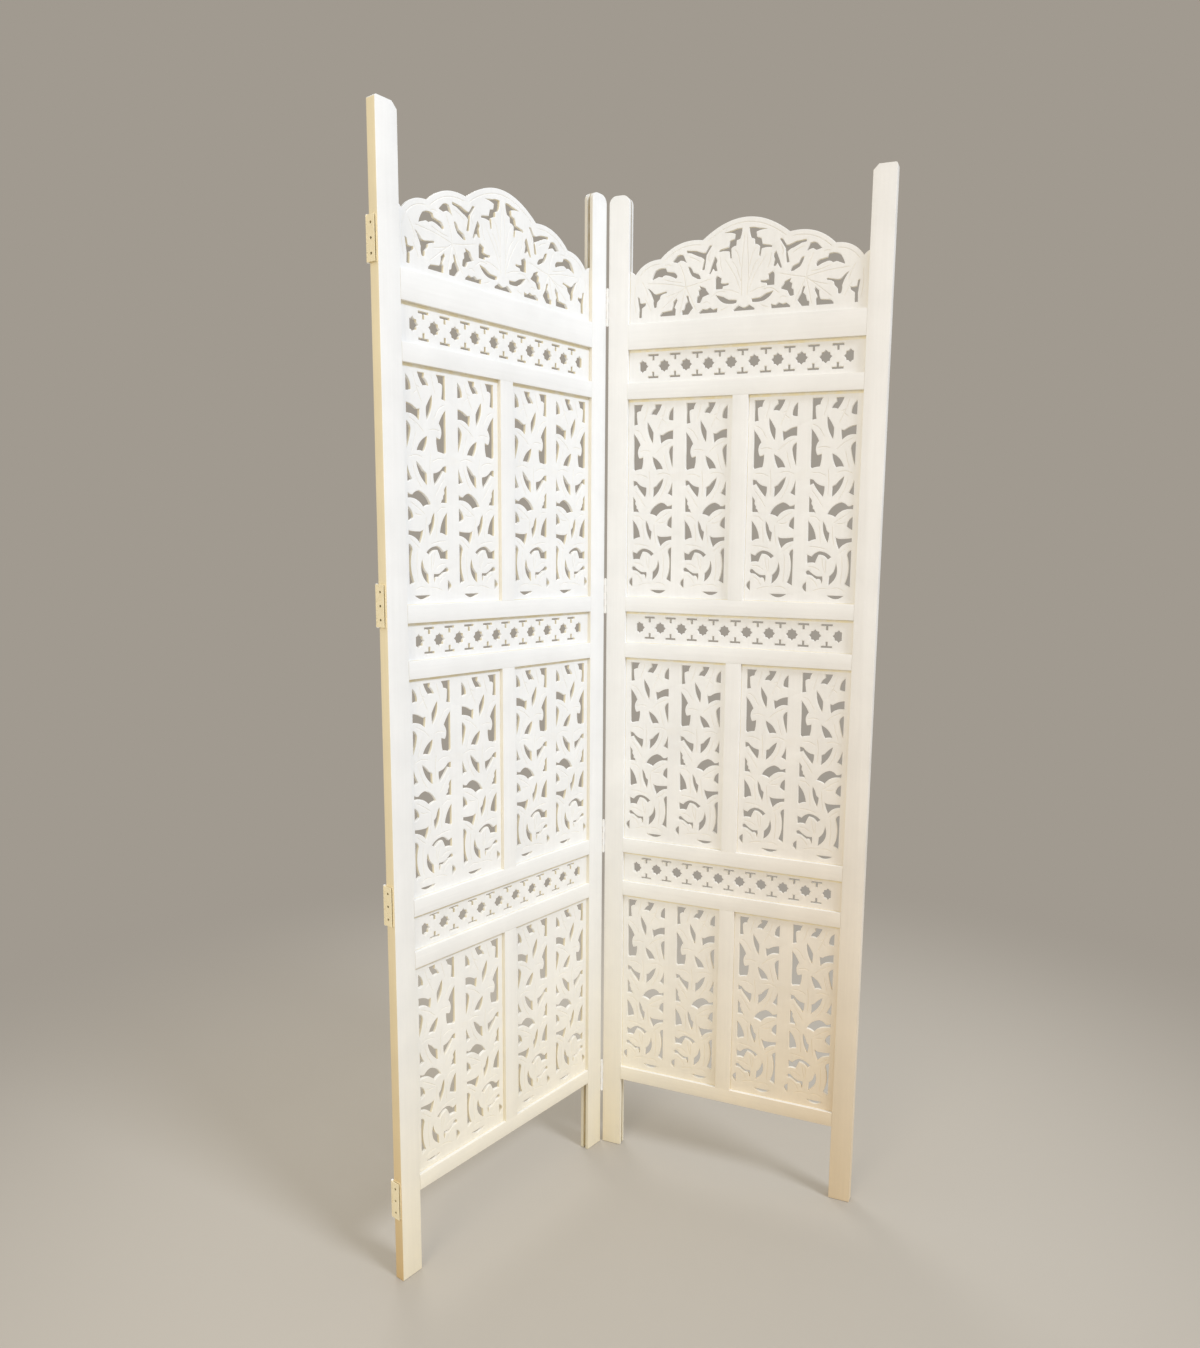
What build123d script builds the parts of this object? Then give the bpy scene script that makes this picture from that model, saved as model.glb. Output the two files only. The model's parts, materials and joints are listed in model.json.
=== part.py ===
"""Carved jali screen of two hinged leaves, built in millimetres with +Z up.

Each leaf is a wooden frame of two posts, seven rails and three muntins. Pierced boards stand in a
groove that runs round every opening: two vine boards in each of the three tall windows, a strip of
stars in each of the three low ones, and a lobed crest board on top. Four butt hinges join the
leaves, and four more on the outer edge of the left leaf wait, closed, for a further leaf.

A leaf is first built flat. X runs along the leaf from the axis of the centre hinges, Y runs from the
front face to the rear one, with the hinge axis at Y = 0, and Z is the height over the floor.
"""
import os
from math import cos, floor, hypot, pi, sin

from build123d import *

# ---------------------------------------------------------------- frame of one leaf
leaf_width = 508.0
frame_thickness = 19.0
post_width = 39.0
post_horn_height = 222.0          # from the top of the top rail to the tip of the posts
leg_height = 144.0                # from the floor to the bottom rail
bottom_rail_height = 27.0
middle_rail_height = 28.0
top_rail_height = 44.0
muntin_width = 29.0
lower_window_height = 362.0
middle_window_height = 355.0
upper_window_height = 359.0
star_window_height = 59.0
post_edge_round = 1.5
hinge_post_top_round = 14.0
outer_post_top_chamfer = 9.0      # on the corner over the crest
outer_post_top_round = 4.0        # on the outside corner

# ---------------------------------------------------------------- grooves and what stands in them
groove_width = 6.0
groove_depth = 7.0
board_face_clearance = 0.15       # between a board or tenon and the cheek of the groove
groove_end_clearance = 0.5        # between a board or tenon and the bottom of the groove

# ---------------------------------------------------------------- vine boards
vine_side_margin = 10.5           # from the frame to the pierced column
vine_column_gap = 25.5            # plain stile between the two columns of one board
vine_top_margin = 9.5
vine_bottom_margin = 13.5

# ---------------------------------------------------------------- star strips
star_pitch = 42.0
star_tip_radius = 11.2            # tips that point along and across the strip
star_diagonal_tip_radius = 10.2
star_notch_radius = 8.4
star_end_cut = 5.5                # the first and last stars are cut off this far past their centres
star_end_margin = 20.0
tee_margin = 8.5                  # from the frame to the bar of a T
tee_bar_width = 20.0
tee_bar_height = 3.5
tee_stem_width = 4.0
tee_stem_length = 7.5

# ---------------------------------------------------------------- crest board
crest_height = 165.0

# ---------------------------------------------------------------- hinges
hinge_length = 64.0
hinge_sheet = 1.0
pin_radius = 1.2
pin_clearance = 0.05
pin_head_radius = 1.9
pin_head_height = 0.8
knuckle_count = 5
knuckle_gap = 0.3
knuckle_proud = 1.0               # the hinge axis stands this far in front of the face it serves
plate_setback = 2.5               # from the edge of the plate to the far face of the frame
screw_spacing = 21.0
screw_shank_radius = 1.6
screw_head_radius = 3.2
screw_head_rise = 0.3
screw_length = 14.0
screw_point = 3.0
screw_slot_width = 0.7
screw_slot_depth = 0.4
screw_clearance = 0.05
screw_hole_radius = 2.0
countersink_depth = 0.6

# ---------------------------------------------------------------- pose
opening_angle = 105.0             # between the front faces of the two leaves

# ---------------------------------------------------------------- worked out from the above
barrel_radius = pin_radius + pin_clearance + hinge_sheet
half_gap = barrel_radius          # from the hinge axis to the first post
front = knuckle_proud
rear = front + frame_thickness
mid_depth = (front + rear) / 2
post_inner = half_gap + post_width
panel_start = post_inner
panel_end = half_gap + leaf_width - post_width
leaf_end = half_gap + leaf_width
leaf_middle = (panel_start + panel_end) / 2
outer_axis = leaf_end + barrel_radius
board_thickness = groove_width - 2 * board_face_clearance
insert = groove_depth - groove_end_clearance
fold_angle = 180.0 - opening_angle

lower_window_foot = leg_height + bottom_rail_height
lower_window_head = lower_window_foot + lower_window_height
lower_strip_foot = lower_window_head + middle_rail_height
lower_strip_head = lower_strip_foot + star_window_height
middle_window_foot = lower_strip_head + middle_rail_height
middle_window_head = middle_window_foot + middle_window_height
middle_strip_foot = middle_window_head + middle_rail_height
middle_strip_head = middle_strip_foot + star_window_height
upper_window_foot = middle_strip_head + middle_rail_height
upper_window_head = upper_window_foot + upper_window_height
upper_strip_foot = upper_window_head + middle_rail_height
upper_strip_head = upper_strip_foot + star_window_height
crest_foot = upper_strip_head + top_rail_height
screen_height = crest_foot + post_horn_height

hinge_heights = {
    "bottom": leg_height,
    "lower": middle_window_foot,
    "upper": upper_window_foot,
    "top": crest_foot + hinge_length / 2,
}

# ---------------------------------------------------------------- carved outlines
# Each outline is a closed list of corners (across, up or down, swell) in millimetres. The swell is
# how far the edge to the next corner bows out of the hole, or into it when negative; 0 is straight.
#
# One vine column, 77 wide and 336 high, drawn from its top left corner with the second figure
# running down. The stem climbs from the foot and throws leaves to both sides.
vine_holes = [
    [(0, 0, 0), (18, 0, -1), (13.5, 11.5, -1), (5.5, 14, -0.5), (7.5, 35, 0), (0, 36.5, 0)],
    [(41, 0.5, 0), (54.5, 0.5, 1), (44, 19.5, -1), (33, 18.5, 1.5), (42, 7.5, 0)],
    [(77, 6.5, 0), (77, 29.5, 0.5), (67.5, 27.5, 3)],
    [(27, 31.5, 0.5), (38.5, 50, 0.5), (37.5, 69.5, 4)],
    [(0, 51.5, 1), (13.5, 72, -4), (11.5, 96, -0.5), (19, 93.5, 1), (16.5, 115, -0.5), (2, 118, 0),
     (0, 115, 0)],
    [(51.5, 54, -0.5), (57, 55, 1.5), (77, 47, 0), (77, 62.5, -3.5), (53, 71.5, 0.5)],
    [(77, 74, 0), (77, 113.5, 1), (69, 85, 2)],
    [(37.5, 93.5, 3.5), (58, 116, -1), (44.5, 117, 1.5)],
    [(0, 136.5, 0.5), (7, 138, -2.5), (26, 148.5, 1), (23.5, 166.5, 1), (6, 143.5, 0.5), (0, 146, 0)],
    [(59.5, 132.5, 4), (39, 167, 0), (39.5, 149.5, 0.5), (45, 146.5, 1)],
    [(77, 139, 0), (77, 164, 0), (68, 159.5, -1)],
    [(0, 166, 0.5), (5, 173.5, -0.5), (4.5, 179, 0), (7, 182.5, 0), (7, 187, 0), (9.5, 188, 0),
     (12.5, 195.5, -0.5), (9, 192.5, 0), (0, 192.5, 0)],
    [(32.5, 196, 3.5), (55.5, 176, 1.5), (68, 182.5, -1), (77, 179.5, 0), (77, 187.5, -5), (46.5, 201, -1)],
    [(0, 208, 3), (14.5, 239, -1), (1.5, 243.5, 0), (0, 241.5, 0)],
    [(26, 208.5, 1), (32.5, 223, -0.5), (37.5, 228, 0.5), (35, 245, 3.5)],
    [(77, 200.5, 0), (77, 222.5, 0.5), (67.5, 217, 2.5)],
    [(49, 235.5, -0.5), (55.5, 238, -0.5), (77, 236.5, 0), (77, 243, -3), (55, 256, 1)],
    [(0, 266, 0), (8, 269, 1.5), (21.5, 260, 2.5), (42.5, 269.5, 0), (36.5, 274, -2.5), (20.5, 265.5, -0.5),
     (14.5, 280, -1), (0, 280.5, 0)],
    [(0, 294, 1.5), (6.5, 295.5, -0.5), (18, 303, -0.5), (28, 303, 1), (27, 316, -0.5), (24, 308.5, -1),
     (18, 308.5, 0), (9, 302, -0.5), (0.5, 300.5, 1.5)],
    [(0, 313.5, 7), (0, 331, 0)],
    [(51.5, 280.5, 7.5), (39, 318.5, 0), (40, 303, -0.5), (47.5, 294.5, -0.5)],
    [(77, 257, 0), (77, 320.5, 0), (67.5, 315.5, -5), (70, 266, 2)],
    [(37, 336, 6), (67, 336, 0)],
]
vine_drawn_width = max(x for hole in vine_holes for x, y, swell in hole)
vine_drawn_height = max(y for hole in vine_holes for x, y, swell in hole)

# The crest board, 430 wide and 165 high, drawn from the middle of its foot. The top edge is seven
# lobes; the holes of one half are repeated on the other, round three chinar leaves.
crest_top_edge = [
    (215, 93, 1), (205, 85.5, 7), (157, 109, 10.5), (78, 134, 31),
    (-78, 134, 10.5), (-157, 109, 7), (-205, 85.5, 1), (-215, 93, 0),
]
crest_drawn_half_width = max(x for x, z, swell in crest_top_edge)
crest_drawn_height = max(z + swell for x, z, swell in crest_top_edge)
crest_middle_hole = [
    (19, 11.5, 0), (19, 14, 0), (9.5, 20.5, 0), (4.5, 17.5, 0), (0, 16, 0), (-4.5, 17.5, 0),
    (-9.5, 20.5, 0), (-19, 14, 0), (-19, 11.5, 0),
]
crest_half_holes = [
    [(200, 47.5, 0), (196.5, 46, 0), (195, 37, -1), (185, 37, 1), (185, 32, 0), (191.5, 27.5, 0),
     (192, 11.5, 0), (197.5, 11.5, 0), (197, 26, 0)],
    [(180.5, 61, 1), (169.5, 52.5, -1), (162, 50, 0), (145, 53.5, 1), (144.5, 50.5, -1), (155.5, 47, 0),
     (157, 41.5, 0), (162.5, 36, 0), (163.5, 28, 1), (168.5, 28, 1), (170, 40, -1)],
    [(173.5, 74, 1), (165.5, 90, 2), (146, 92.5, 0), (144, 87, 0), (134.5, 85, 2), (124.5, 78, 1),
     (127.5, 74, -1), (145.5, 81, -1), (153, 78, 0), (159.5, 79.5, 0)],
    [(134, 102.5, 0), (126.5, 110.5, 2), (113.5, 112, 0), (107, 98.5, -1), (118.5, 103.5, 0),
     (124.5, 100, 0)],
    [(106.5, 119, 0), (89, 117, 0), (76.5, 112.5, 0), (72.5, 113, 0), (66, 123, 1), (61, 123, 0),
     (70.5, 108.5, 0), (73.5, 85, 1), (78.5, 85, 0), (74.5, 101.5, -1), (85, 107.5, 0), (99, 114, 0),
     (106.5, 115, 1)],
    [(55, 104.5, 1), (50.5, 97, 0), (52.5, 92, 0), (50, 80.5, 0), (54.5, 80.5, 0), (57.5, 85, 0),
     (62, 77.5, 1), (65.5, 77, 0), (61.5, 89, 0)],
    [(104, 91.5, 1), (97.5, 88, 0), (94.5, 82, 0), (85, 78, 1), (80.5, 69.5, 0), (86, 70, 0), (97, 76, 1)],
    [(38, 142, 0), (22.5, 145, 1), (6.5, 147, 1), (10, 130, 0), (16, 128, 0), (16.5, 119.5, -1),
     (25.5, 115.5, 0), (24.5, 100, 1), (27, 99, 0), (29, 111, -1), (47, 111.5, 1), (45.5, 115, 0),
     (30.5, 118, 0), (28, 128, 0), (20.5, 130.5, 0), (19, 139, -1)],
    [(53, 50, 0), (53, 66.5, 1), (49.5, 72, 0), (42, 68, 0), (43, 60, -1), (29.5, 59, 1), (29.5, 55.5, 0),
     (39, 54, 0), (40, 50, 0)],
    [(82.5, 58, 0), (71.5, 54, 0), (69, 49, 0), (64, 43, 0), (76, 39, 0), (80.5, 30, 1), (88, 31, 0),
     (87, 39.5, 0), (83.5, 42.5, 0), (84.5, 50, 0), (80, 53, 0)],
    [(51.5, 40, 0), (39, 37, 0), (28, 31, 0), (14, 30, 1), (15, 24.5, 1), (35, 25.5, 2)],
    [(156.5, 11.5, 0), (156.5, 14, 0), (152, 18.5, 0), (134.5, 20.5, -1), (131.5, 34.5, 0), (125, 40.5, 0),
     (123.5, 36.5, 0), (129, 25, 0), (126.5, 22, 0), (127, 11.5, 0)],
    [(115, 11.5, 0), (115, 18.5, 0), (111, 20.5, 0), (109, 28.5, 0), (104, 33.5, 0), (107, 42.5, 1),
     (103, 42.5, 0), (100.5, 33, 0), (94, 22, 0), (102.5, 11.5, 0)],
    [(82, 11.5, 0), (82, 14, 0), (75.5, 19, 0), (68.5, 17.5, 0), (62, 20.5, 0), (56.5, 16.5, 0),
     (48.5, 18.5, 0), (49, 11.5, 0)],
]


# ---------------------------------------------------------------- helpers
def block(x_from, x_to, y_from, y_to, z_from, z_to):
    """A box between two corners."""
    corner = Pos(x_from, y_from, z_from)
    return corner * Box(x_to - x_from, y_to - y_from, z_to - z_from, align=(Align.MIN,) * 3)


def wire_at(outline, depth):
    """The closed wire of an outline [(x, z, swell)], standing at Y = depth."""
    following = outline[1:] + outline[:1]
    area = sum(a[0] * b[1] - b[0] * a[1] for a, b in zip(outline, following))
    outward = 1 if area >= 0 else -1
    edges = []
    for (x_from, z_from, swell), (x_to, z_to, _) in zip(outline, following):
        run_x = x_to - x_from
        run_z = z_to - z_from
        length = hypot(run_x, run_z)
        start = Vector(x_from, depth, z_from)
        end = Vector(x_to, depth, z_to)
        if swell == 0:
            edges.append(Edge.make_line(start, end))
            continue
        reach = outward * swell / length
        middle = Vector((x_from + x_to) / 2 + run_z * reach, depth, (z_from + z_to) / 2 - run_x * reach)
        edges.append(Edge.make_three_point_arc(start, middle, end))
    return Wire(edges)


def pierced_plate(outline, holes):
    """A board of the groove's thickness with the given outline, pierced by the given holes."""
    depth = mid_depth - board_thickness / 2
    face = Face(wire_at(outline, depth), [wire_at(hole, depth) for hole in holes])
    return extrude(face, amount=board_thickness, dir=(0, 1, 0))


def rectangle(x_from, x_to, z_from, z_to):
    """A rectangular outline."""
    return [(x_from, z_from, 0), (x_to, z_from, 0), (x_to, z_to, 0), (x_from, z_to, 0)]


# ---------------------------------------------------------------- frame members
def post(x_from, top_outline, groove_from, groove_to):
    """A post: its section with eased corners, its shaped top and the groove down its inner side."""
    section = RectangleRounded(post_width, frame_thickness, post_edge_round)
    bar = extrude(Pos(x_from + post_width / 2, mid_depth, 0) * section, amount=screen_height)
    silhouette = extrude(Face(wire_at(top_outline, front)), amount=frame_thickness, dir=(0, 1, 0))
    groove = block(groove_from, groove_to, mid_depth - groove_width / 2, mid_depth + groove_width / 2,
                   0, screen_height)
    return bar & silhouette - groove


def corner_swell(radius):
    """How far a quarter circle of this radius bows out from the chord between its ends."""
    return radius * (1 - cos(pi / 4))


def hinge_post():
    """The post beside the centre hinges, rounded over the top."""
    x_from = half_gap
    x_to = post_inner
    top = screen_height
    turn = min(hinge_post_top_round, post_width / 2 - 1)
    outline = [
        (x_from, 0, 0), (x_to, 0, 0), (x_to, top - turn, corner_swell(turn)), (x_to - turn, top, 0),
        (x_from + turn, top, corner_swell(turn)), (x_from, top - turn, 0),
    ]
    return post(x_from, outline, x_to - groove_depth, x_to)


def outer_post():
    """The post at the free edge of the leaf, with a chamfer over the crest and a small round outside."""
    x_from = panel_end
    x_to = leaf_end
    top = screen_height
    chamfer_size = outer_post_top_chamfer
    turn = outer_post_top_round
    outline = [
        (x_from, 0, 0), (x_to, 0, 0), (x_to, top - turn, corner_swell(turn)), (x_to - turn, top, 0),
        (x_from + chamfer_size, top, 0), (x_from, top - chamfer_size, 0),
    ]
    return post(x_from, outline, x_from, x_from + groove_depth)


def rail(z_from, z_to, groove_below, groove_above):
    """A rail between the posts, grooved where boards enter it, with a stub tenon at each end."""
    tenon_foot = z_from + (groove_depth if groove_below else 0)
    tenon_head = z_to - (groove_depth if groove_above else 0)
    groove_near = mid_depth - groove_width / 2
    groove_far = mid_depth + groove_width / 2
    body = block(panel_start, panel_end, front, rear, z_from, z_to)
    if groove_below:
        body -= block(panel_start, panel_end, groove_near, groove_far, z_from, tenon_foot)
    if groove_above:
        body -= block(panel_start, panel_end, groove_near, groove_far, tenon_head, z_to)
    tenon = block(panel_start - insert, panel_end + insert, mid_depth - board_thickness / 2,
                  mid_depth + board_thickness / 2, tenon_foot, tenon_head)
    return body + tenon


def muntin(z_from, z_to):
    """The upright that halves a tall window, grooved down both sides, with a stub tenon at each end."""
    x_from = leaf_middle - muntin_width / 2
    x_to = leaf_middle + muntin_width / 2
    groove_near = mid_depth - groove_width / 2
    groove_far = mid_depth + groove_width / 2
    body = block(x_from, x_to, front, rear, z_from, z_to)
    body -= block(x_from, x_from + groove_depth, groove_near, groove_far, z_from, z_to)
    body -= block(x_to - groove_depth, x_to, groove_near, groove_far, z_from, z_to)
    tenon = block(x_from + groove_depth, x_to - groove_depth, mid_depth - board_thickness / 2,
                  mid_depth + board_thickness / 2, z_from - insert, z_to + insert)
    return body + tenon


# ---------------------------------------------------------------- carved boards
def vine_board(x_from, x_to, z_from, z_to):
    """A board with two vine columns, held in the grooves round the opening given by its corners."""
    column_width = (x_to - x_from - 2 * vine_side_margin - vine_column_gap) / 2
    across = column_width / vine_drawn_width
    down = (z_to - z_from - vine_top_margin - vine_bottom_margin) / vine_drawn_height
    field_head = z_to - vine_top_margin
    holes = []
    for column in range(2):
        left = x_from + vine_side_margin + column * (column_width + vine_column_gap)
        for hole in vine_holes:
            holes.append([(left + x * across, field_head - y * down, swell) for x, y, swell in hole])
    edge = rectangle(x_from - insert, x_to + insert, z_from - insert, z_to + insert)
    return pierced_plate(edge, holes)


def star(centre, height, cut_low, cut_high):
    """An eight-pointed star; its corners are pulled in to the cuts at cut_low and cut_high."""
    outline = []
    for step in range(16):
        angle = step * pi / 8
        if step % 4 == 0:
            radius = star_tip_radius
        elif step % 2 == 0:
            radius = star_diagonal_tip_radius
        else:
            radius = star_notch_radius
        x = centre + radius * cos(angle)
        outline.append((x, height + radius * sin(angle)))
    trimmed = []
    for (x_a, z_a), (x_b, z_b) in zip(outline, outline[1:] + outline[:1]):
        if cut_low <= x_a <= cut_high:
            trimmed.append((x_a, z_a, 0))
        for cut in (cut_low, cut_high):
            if (x_a - cut) * (x_b - cut) < 0:
                share = (cut - x_a) / (x_b - x_a)
                trimmed.append((cut, z_a + share * (z_b - z_a), 0))
    return trimmed


def tee(centre, height, reach, up):
    """A T whose bar lies reach away from the strip's middle line, with the stem pointing at it."""
    outer = height + up * reach
    shoulder = outer - up * tee_bar_height
    tip = shoulder - up * tee_stem_length
    bar = tee_bar_width / 2
    stem = tee_stem_width / 2
    return [
        (centre - bar, outer, 0), (centre + bar, outer, 0), (centre + bar, shoulder, 0),
        (centre + stem, shoulder, 0), (centre + stem, tip, 0), (centre - stem, tip, 0),
        (centre - stem, shoulder, 0), (centre - bar, shoulder, 0),
    ]


def star_strip(z_from, z_to):
    """A strip of stars in a row, with a pair of T shapes between each two."""
    height = (z_from + z_to) / 2
    field = panel_end - panel_start - 2 * (star_end_margin + star_end_cut)
    count = floor(field / star_pitch) + 1
    first = leaf_middle - (count - 1) * star_pitch / 2
    last = leaf_middle + (count - 1) * star_pitch / 2
    holes = [star(first + i * star_pitch, height, first - star_end_cut, last + star_end_cut)
             for i in range(count)]
    reach = (z_to - z_from) / 2 - tee_margin
    for i in range(count - 1):
        centre = first + (i + 0.5) * star_pitch
        holes.append(tee(centre, height, reach, 1))
        holes.append(tee(centre, height, reach, -1))
    edge = rectangle(panel_start - insert, panel_end + insert, z_from - insert, z_to + insert)
    return pierced_plate(edge, holes)


def crest_board():
    """The lobed crest, held in the grooves of the top rail and of the posts' horns."""
    across = (panel_end - leaf_middle) / crest_drawn_half_width
    up = crest_height / crest_drawn_height

    def placed(outline, side):
        return [(leaf_middle + side * x * across, crest_foot + z * up, swell) for x, z, swell in outline]

    top_edge = placed(crest_top_edge, 1)
    shoulder = top_edge[0][1]
    outline = [
        (panel_start - insert, shoulder, 0), (panel_start - insert, crest_foot - insert, 0),
        (panel_end + insert, crest_foot - insert, 0), (panel_end + insert, shoulder, 0),
    ] + top_edge
    holes = [placed(crest_middle_hole, 1)]
    for hole in crest_half_holes:
        holes.append(placed(hole, 1))
        holes.append(placed(hole, -1))
    return pierced_plate(outline, holes)


# ---------------------------------------------------------------- hinges
# A hinge leaf is built with its axis on Z, its middle at Z = 0, its plate reaching along +Y and lying
# on the +X side of the axis, so the wood it is screwed to starts at X = barrel_radius.
plate_width = front + frame_thickness - plate_setback
plate_screw_line = (barrel_radius + plate_width) / 2
knuckle_length = (hinge_length - (knuckle_count - 1) * knuckle_gap) / knuckle_count


def screw_levels():
    """Heights of the three screws of a hinge leaf from its middle."""
    return [-screw_spacing, 0.0, screw_spacing]


def plate_screw_hole(z, wide_side):
    """The countersunk hole through the plate at height z; wide_side is the X of its wide end."""
    inner_face = barrel_radius - hinge_sheet
    into = 1 if wide_side < barrel_radius else -1
    hole = Pos(inner_face, plate_screw_line, z) * Rot(Y=90) * Cylinder(
        screw_hole_radius, hinge_sheet, align=(Align.CENTER, Align.CENTER, Align.MIN))
    cone = Pos(wide_side, plate_screw_line, z) * Rot(Y=90 * into) * Cone(
        screw_hole_radius + countersink_depth, screw_hole_radius, countersink_depth,
        align=(Align.CENTER, Align.CENTER, Align.MIN))
    return hole + cone


def hinge_leaf(first_knuckle):
    """A hinge leaf that carries every second knuckle, counted from first_knuckle at the foot."""
    inner_face = barrel_radius - hinge_sheet
    relief = barrel_radius + knuckle_gap
    foot = -hinge_length / 2
    leaf = block(inner_face, barrel_radius, relief, plate_width, foot, -foot)
    for knuckle in range(first_knuckle, knuckle_count, 2):
        z_from = foot + knuckle * (knuckle_length + knuckle_gap)
        z_to = z_from + knuckle_length
        tube = Pos(0, 0, z_from) * Cylinder(barrel_radius, knuckle_length,
                                            align=(Align.CENTER, Align.CENTER, Align.MIN))
        leaf += tube + block(inner_face, barrel_radius, 0, relief, z_from, z_to)
    leaf -= Cylinder(pin_radius + pin_clearance, hinge_length)
    for z in screw_levels():
        leaf -= plate_screw_hole(z, inner_face)
    return leaf


def hinge_pin():
    """A hinge pin with a riveted head on each end."""
    pin = Cylinder(pin_radius, hinge_length + 2 * knuckle_gap)
    head = Cylinder(pin_head_radius, pin_head_height, align=(Align.CENTER, Align.CENTER, Align.MIN))
    seat = hinge_length / 2 + knuckle_gap
    return pin + Pos(0, 0, seat) * head + Pos(0, 0, -seat) * Rot(X=180) * head


def screw():
    """A wood screw with its head over X = 0 and its point towards +X."""
    head_back = countersink_depth
    head_face = -(screw_head_radius - screw_hole_radius) + countersink_depth
    outline = Polyline(
        (head_face - screw_head_rise, 0),
        (head_face - screw_head_rise, screw_head_radius * 0.6),
        (head_face, screw_head_radius - screw_clearance),
        (head_back, screw_hole_radius - screw_clearance),
        (head_back, screw_shank_radius),
        (screw_length - screw_point, screw_shank_radius),
        (screw_length, 0),
        close=True,
    )
    solid = revolve(make_face(outline), Axis.X)
    slot_bottom = head_face - screw_head_rise + screw_slot_depth
    slot = block(head_face - screw_head_rise, slot_bottom, -screw_head_radius, screw_head_radius,
                 -screw_slot_width / 2, screw_slot_width / 2)
    return solid - slot


def screws_for(place):
    """The three screws of one fixed hinge leaf, put where place puts the leaf."""
    seat = barrel_radius - hinge_sheet
    return [place * Pos(seat, plate_screw_line, z) * screw() for z in screw_levels()]


def pilot_holes(place):
    """The pilot holes that the three screws of one fixed hinge leaf need in the post."""
    radius = screw_shank_radius + screw_clearance
    seat = barrel_radius - hinge_sheet
    drill = Rot(Y=90) * Cylinder(radius, screw_length, align=(Align.CENTER, Align.CENTER, Align.MIN))
    return [place * Pos(seat, plate_screw_line, z) * drill for z in screw_levels()]


# ---------------------------------------------------------------- one leaf, flat
def centre_hinge_place(height):
    """Where the hinge leaf of this leaf's own post sits on the centre hinge axis."""
    return Pos(0, 0, height)


def outer_fixed_place(height):
    """Where the fixed leaf of an outer hinge sits: barrel behind the rear face, plate on the edge."""
    return Pos(outer_axis, rear + knuckle_proud, height) * Rot(Z=180)


def outer_free_place(height):
    """Where the free leaf of an outer hinge sits, folded shut over the fixed one."""
    return Pos(outer_axis, rear + knuckle_proud, height)


def drilled(post_solid, places):
    """A post with the pilot holes of the fixed hinge leaves at the given places."""
    for place in places:
        for drill in pilot_holes(place):
            post_solid -= drill
    return post_solid


def leaf_pieces():
    """Every wooden piece of one leaf by name, lying flat along +X, the outer post still undrilled."""
    rails = {
        "bottom_rail": (leg_height, lower_window_foot, False, True),
        "lower_strip_sill_rail": (lower_window_head, lower_strip_foot, True, True),
        "lower_strip_head_rail": (lower_strip_head, middle_window_foot, True, True),
        "middle_strip_sill_rail": (middle_window_head, middle_strip_foot, True, True),
        "middle_strip_head_rail": (middle_strip_head, upper_window_foot, True, True),
        "upper_strip_sill_rail": (upper_window_head, upper_strip_foot, True, True),
        "top_rail": (upper_strip_head, crest_foot, True, True),
    }
    windows = {
        "lower": (lower_window_foot, lower_window_head),
        "middle": (middle_window_foot, middle_window_head),
        "upper": (upper_window_foot, upper_window_head),
    }
    strip_feet = {"lower": lower_strip_foot, "middle": middle_strip_foot, "upper": upper_strip_foot}
    centre_hinges = [centre_hinge_place(height) for height in hinge_heights.values()]
    pieces = {"hinge_post": drilled(hinge_post(), centre_hinges), "outer_post": outer_post()}
    for name, (z_from, z_to, below, above) in rails.items():
        pieces[name] = rail(z_from, z_to, below, above)
    board_pitch = (panel_end - panel_start + muntin_width) / 2
    for name, (z_from, z_to) in windows.items():
        board = vine_board(panel_start, leaf_middle - muntin_width / 2, z_from, z_to)
        pieces[name + "_muntin"] = muntin(z_from, z_to)
        pieces[name + "_inner_vine_board"] = board
        pieces[name + "_outer_vine_board"] = Pos(board_pitch, 0, 0) * board
    strip = star_strip(0, star_window_height)
    for name, foot in strip_feet.items():
        pieces[name + "_star_strip"] = Pos(0, 0, foot) * strip
    pieces["crest_board"] = crest_board()
    return pieces


# ---------------------------------------------------------------- the screen, standing open
def to_left(piece):
    """A piece of a flat leaf turned over to the left of the hinge axis."""
    return mirror(piece, about=Plane.YZ)


def to_right(piece):
    """A piece of a flat leaf swung forward about the hinge axis."""
    return Rot(Z=-fold_angle) * piece


def screen():
    """Every node of the screen as {name: [solids]}, with the centre hinge axis at X = Y = 0."""
    nodes = {}
    for name, piece in leaf_pieces().items():
        nodes["left_" + name] = [to_left(piece)]
        nodes["right_" + name] = [to_right(piece)]
    outer_hinges = [outer_fixed_place(height) for height in hinge_heights.values()]
    nodes["left_outer_post"] = [to_left(drilled(outer_post(), outer_hinges))]

    fixed = []
    pins = []
    left_screws = []
    right_screws = []
    even_leaf = hinge_leaf(0)
    odd_leaf = hinge_leaf(1)
    shut_leaf = mirror(odd_leaf, about=Plane.XZ)
    pin = hinge_pin()
    for level, height in hinge_heights.items():
        centre = centre_hinge_place(height)
        outer = outer_fixed_place(height)
        nodes["left_hinge_leaf_" + level] = [to_left(centre * even_leaf)]
        nodes["right_hinge_leaf_" + level] = [to_right(centre * odd_leaf)]
        nodes["free_hinge_leaf_" + level] = [to_left(outer_free_place(height) * shut_leaf)]
        fixed.append(to_left(outer * even_leaf))
        pins.append(centre * pin)
        pins.append(to_left(outer * pin))
        left_screws += [to_left(piece) for piece in screws_for(centre) + screws_for(outer)]
        right_screws += [to_right(piece) for piece in screws_for(centre)]
    nodes["outer_hinge_fixed_leaves"] = fixed
    nodes["hinge_pins"] = pins
    nodes["left_hinge_screws"] = left_screws
    nodes["right_hinge_screws"] = right_screws
    return nodes


# The origin is the middle of the foot of the box round the standing screen.
nodes = screen()
everything = Compound([solid for group in nodes.values() for piece in group for solid in piece.solids()])
extent = everything.bounding_box()
origin = Pos(-(extent.min.X + extent.max.X) / 2, -(extent.min.Y + extent.max.Y) / 2, -extent.min.Z)

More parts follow.
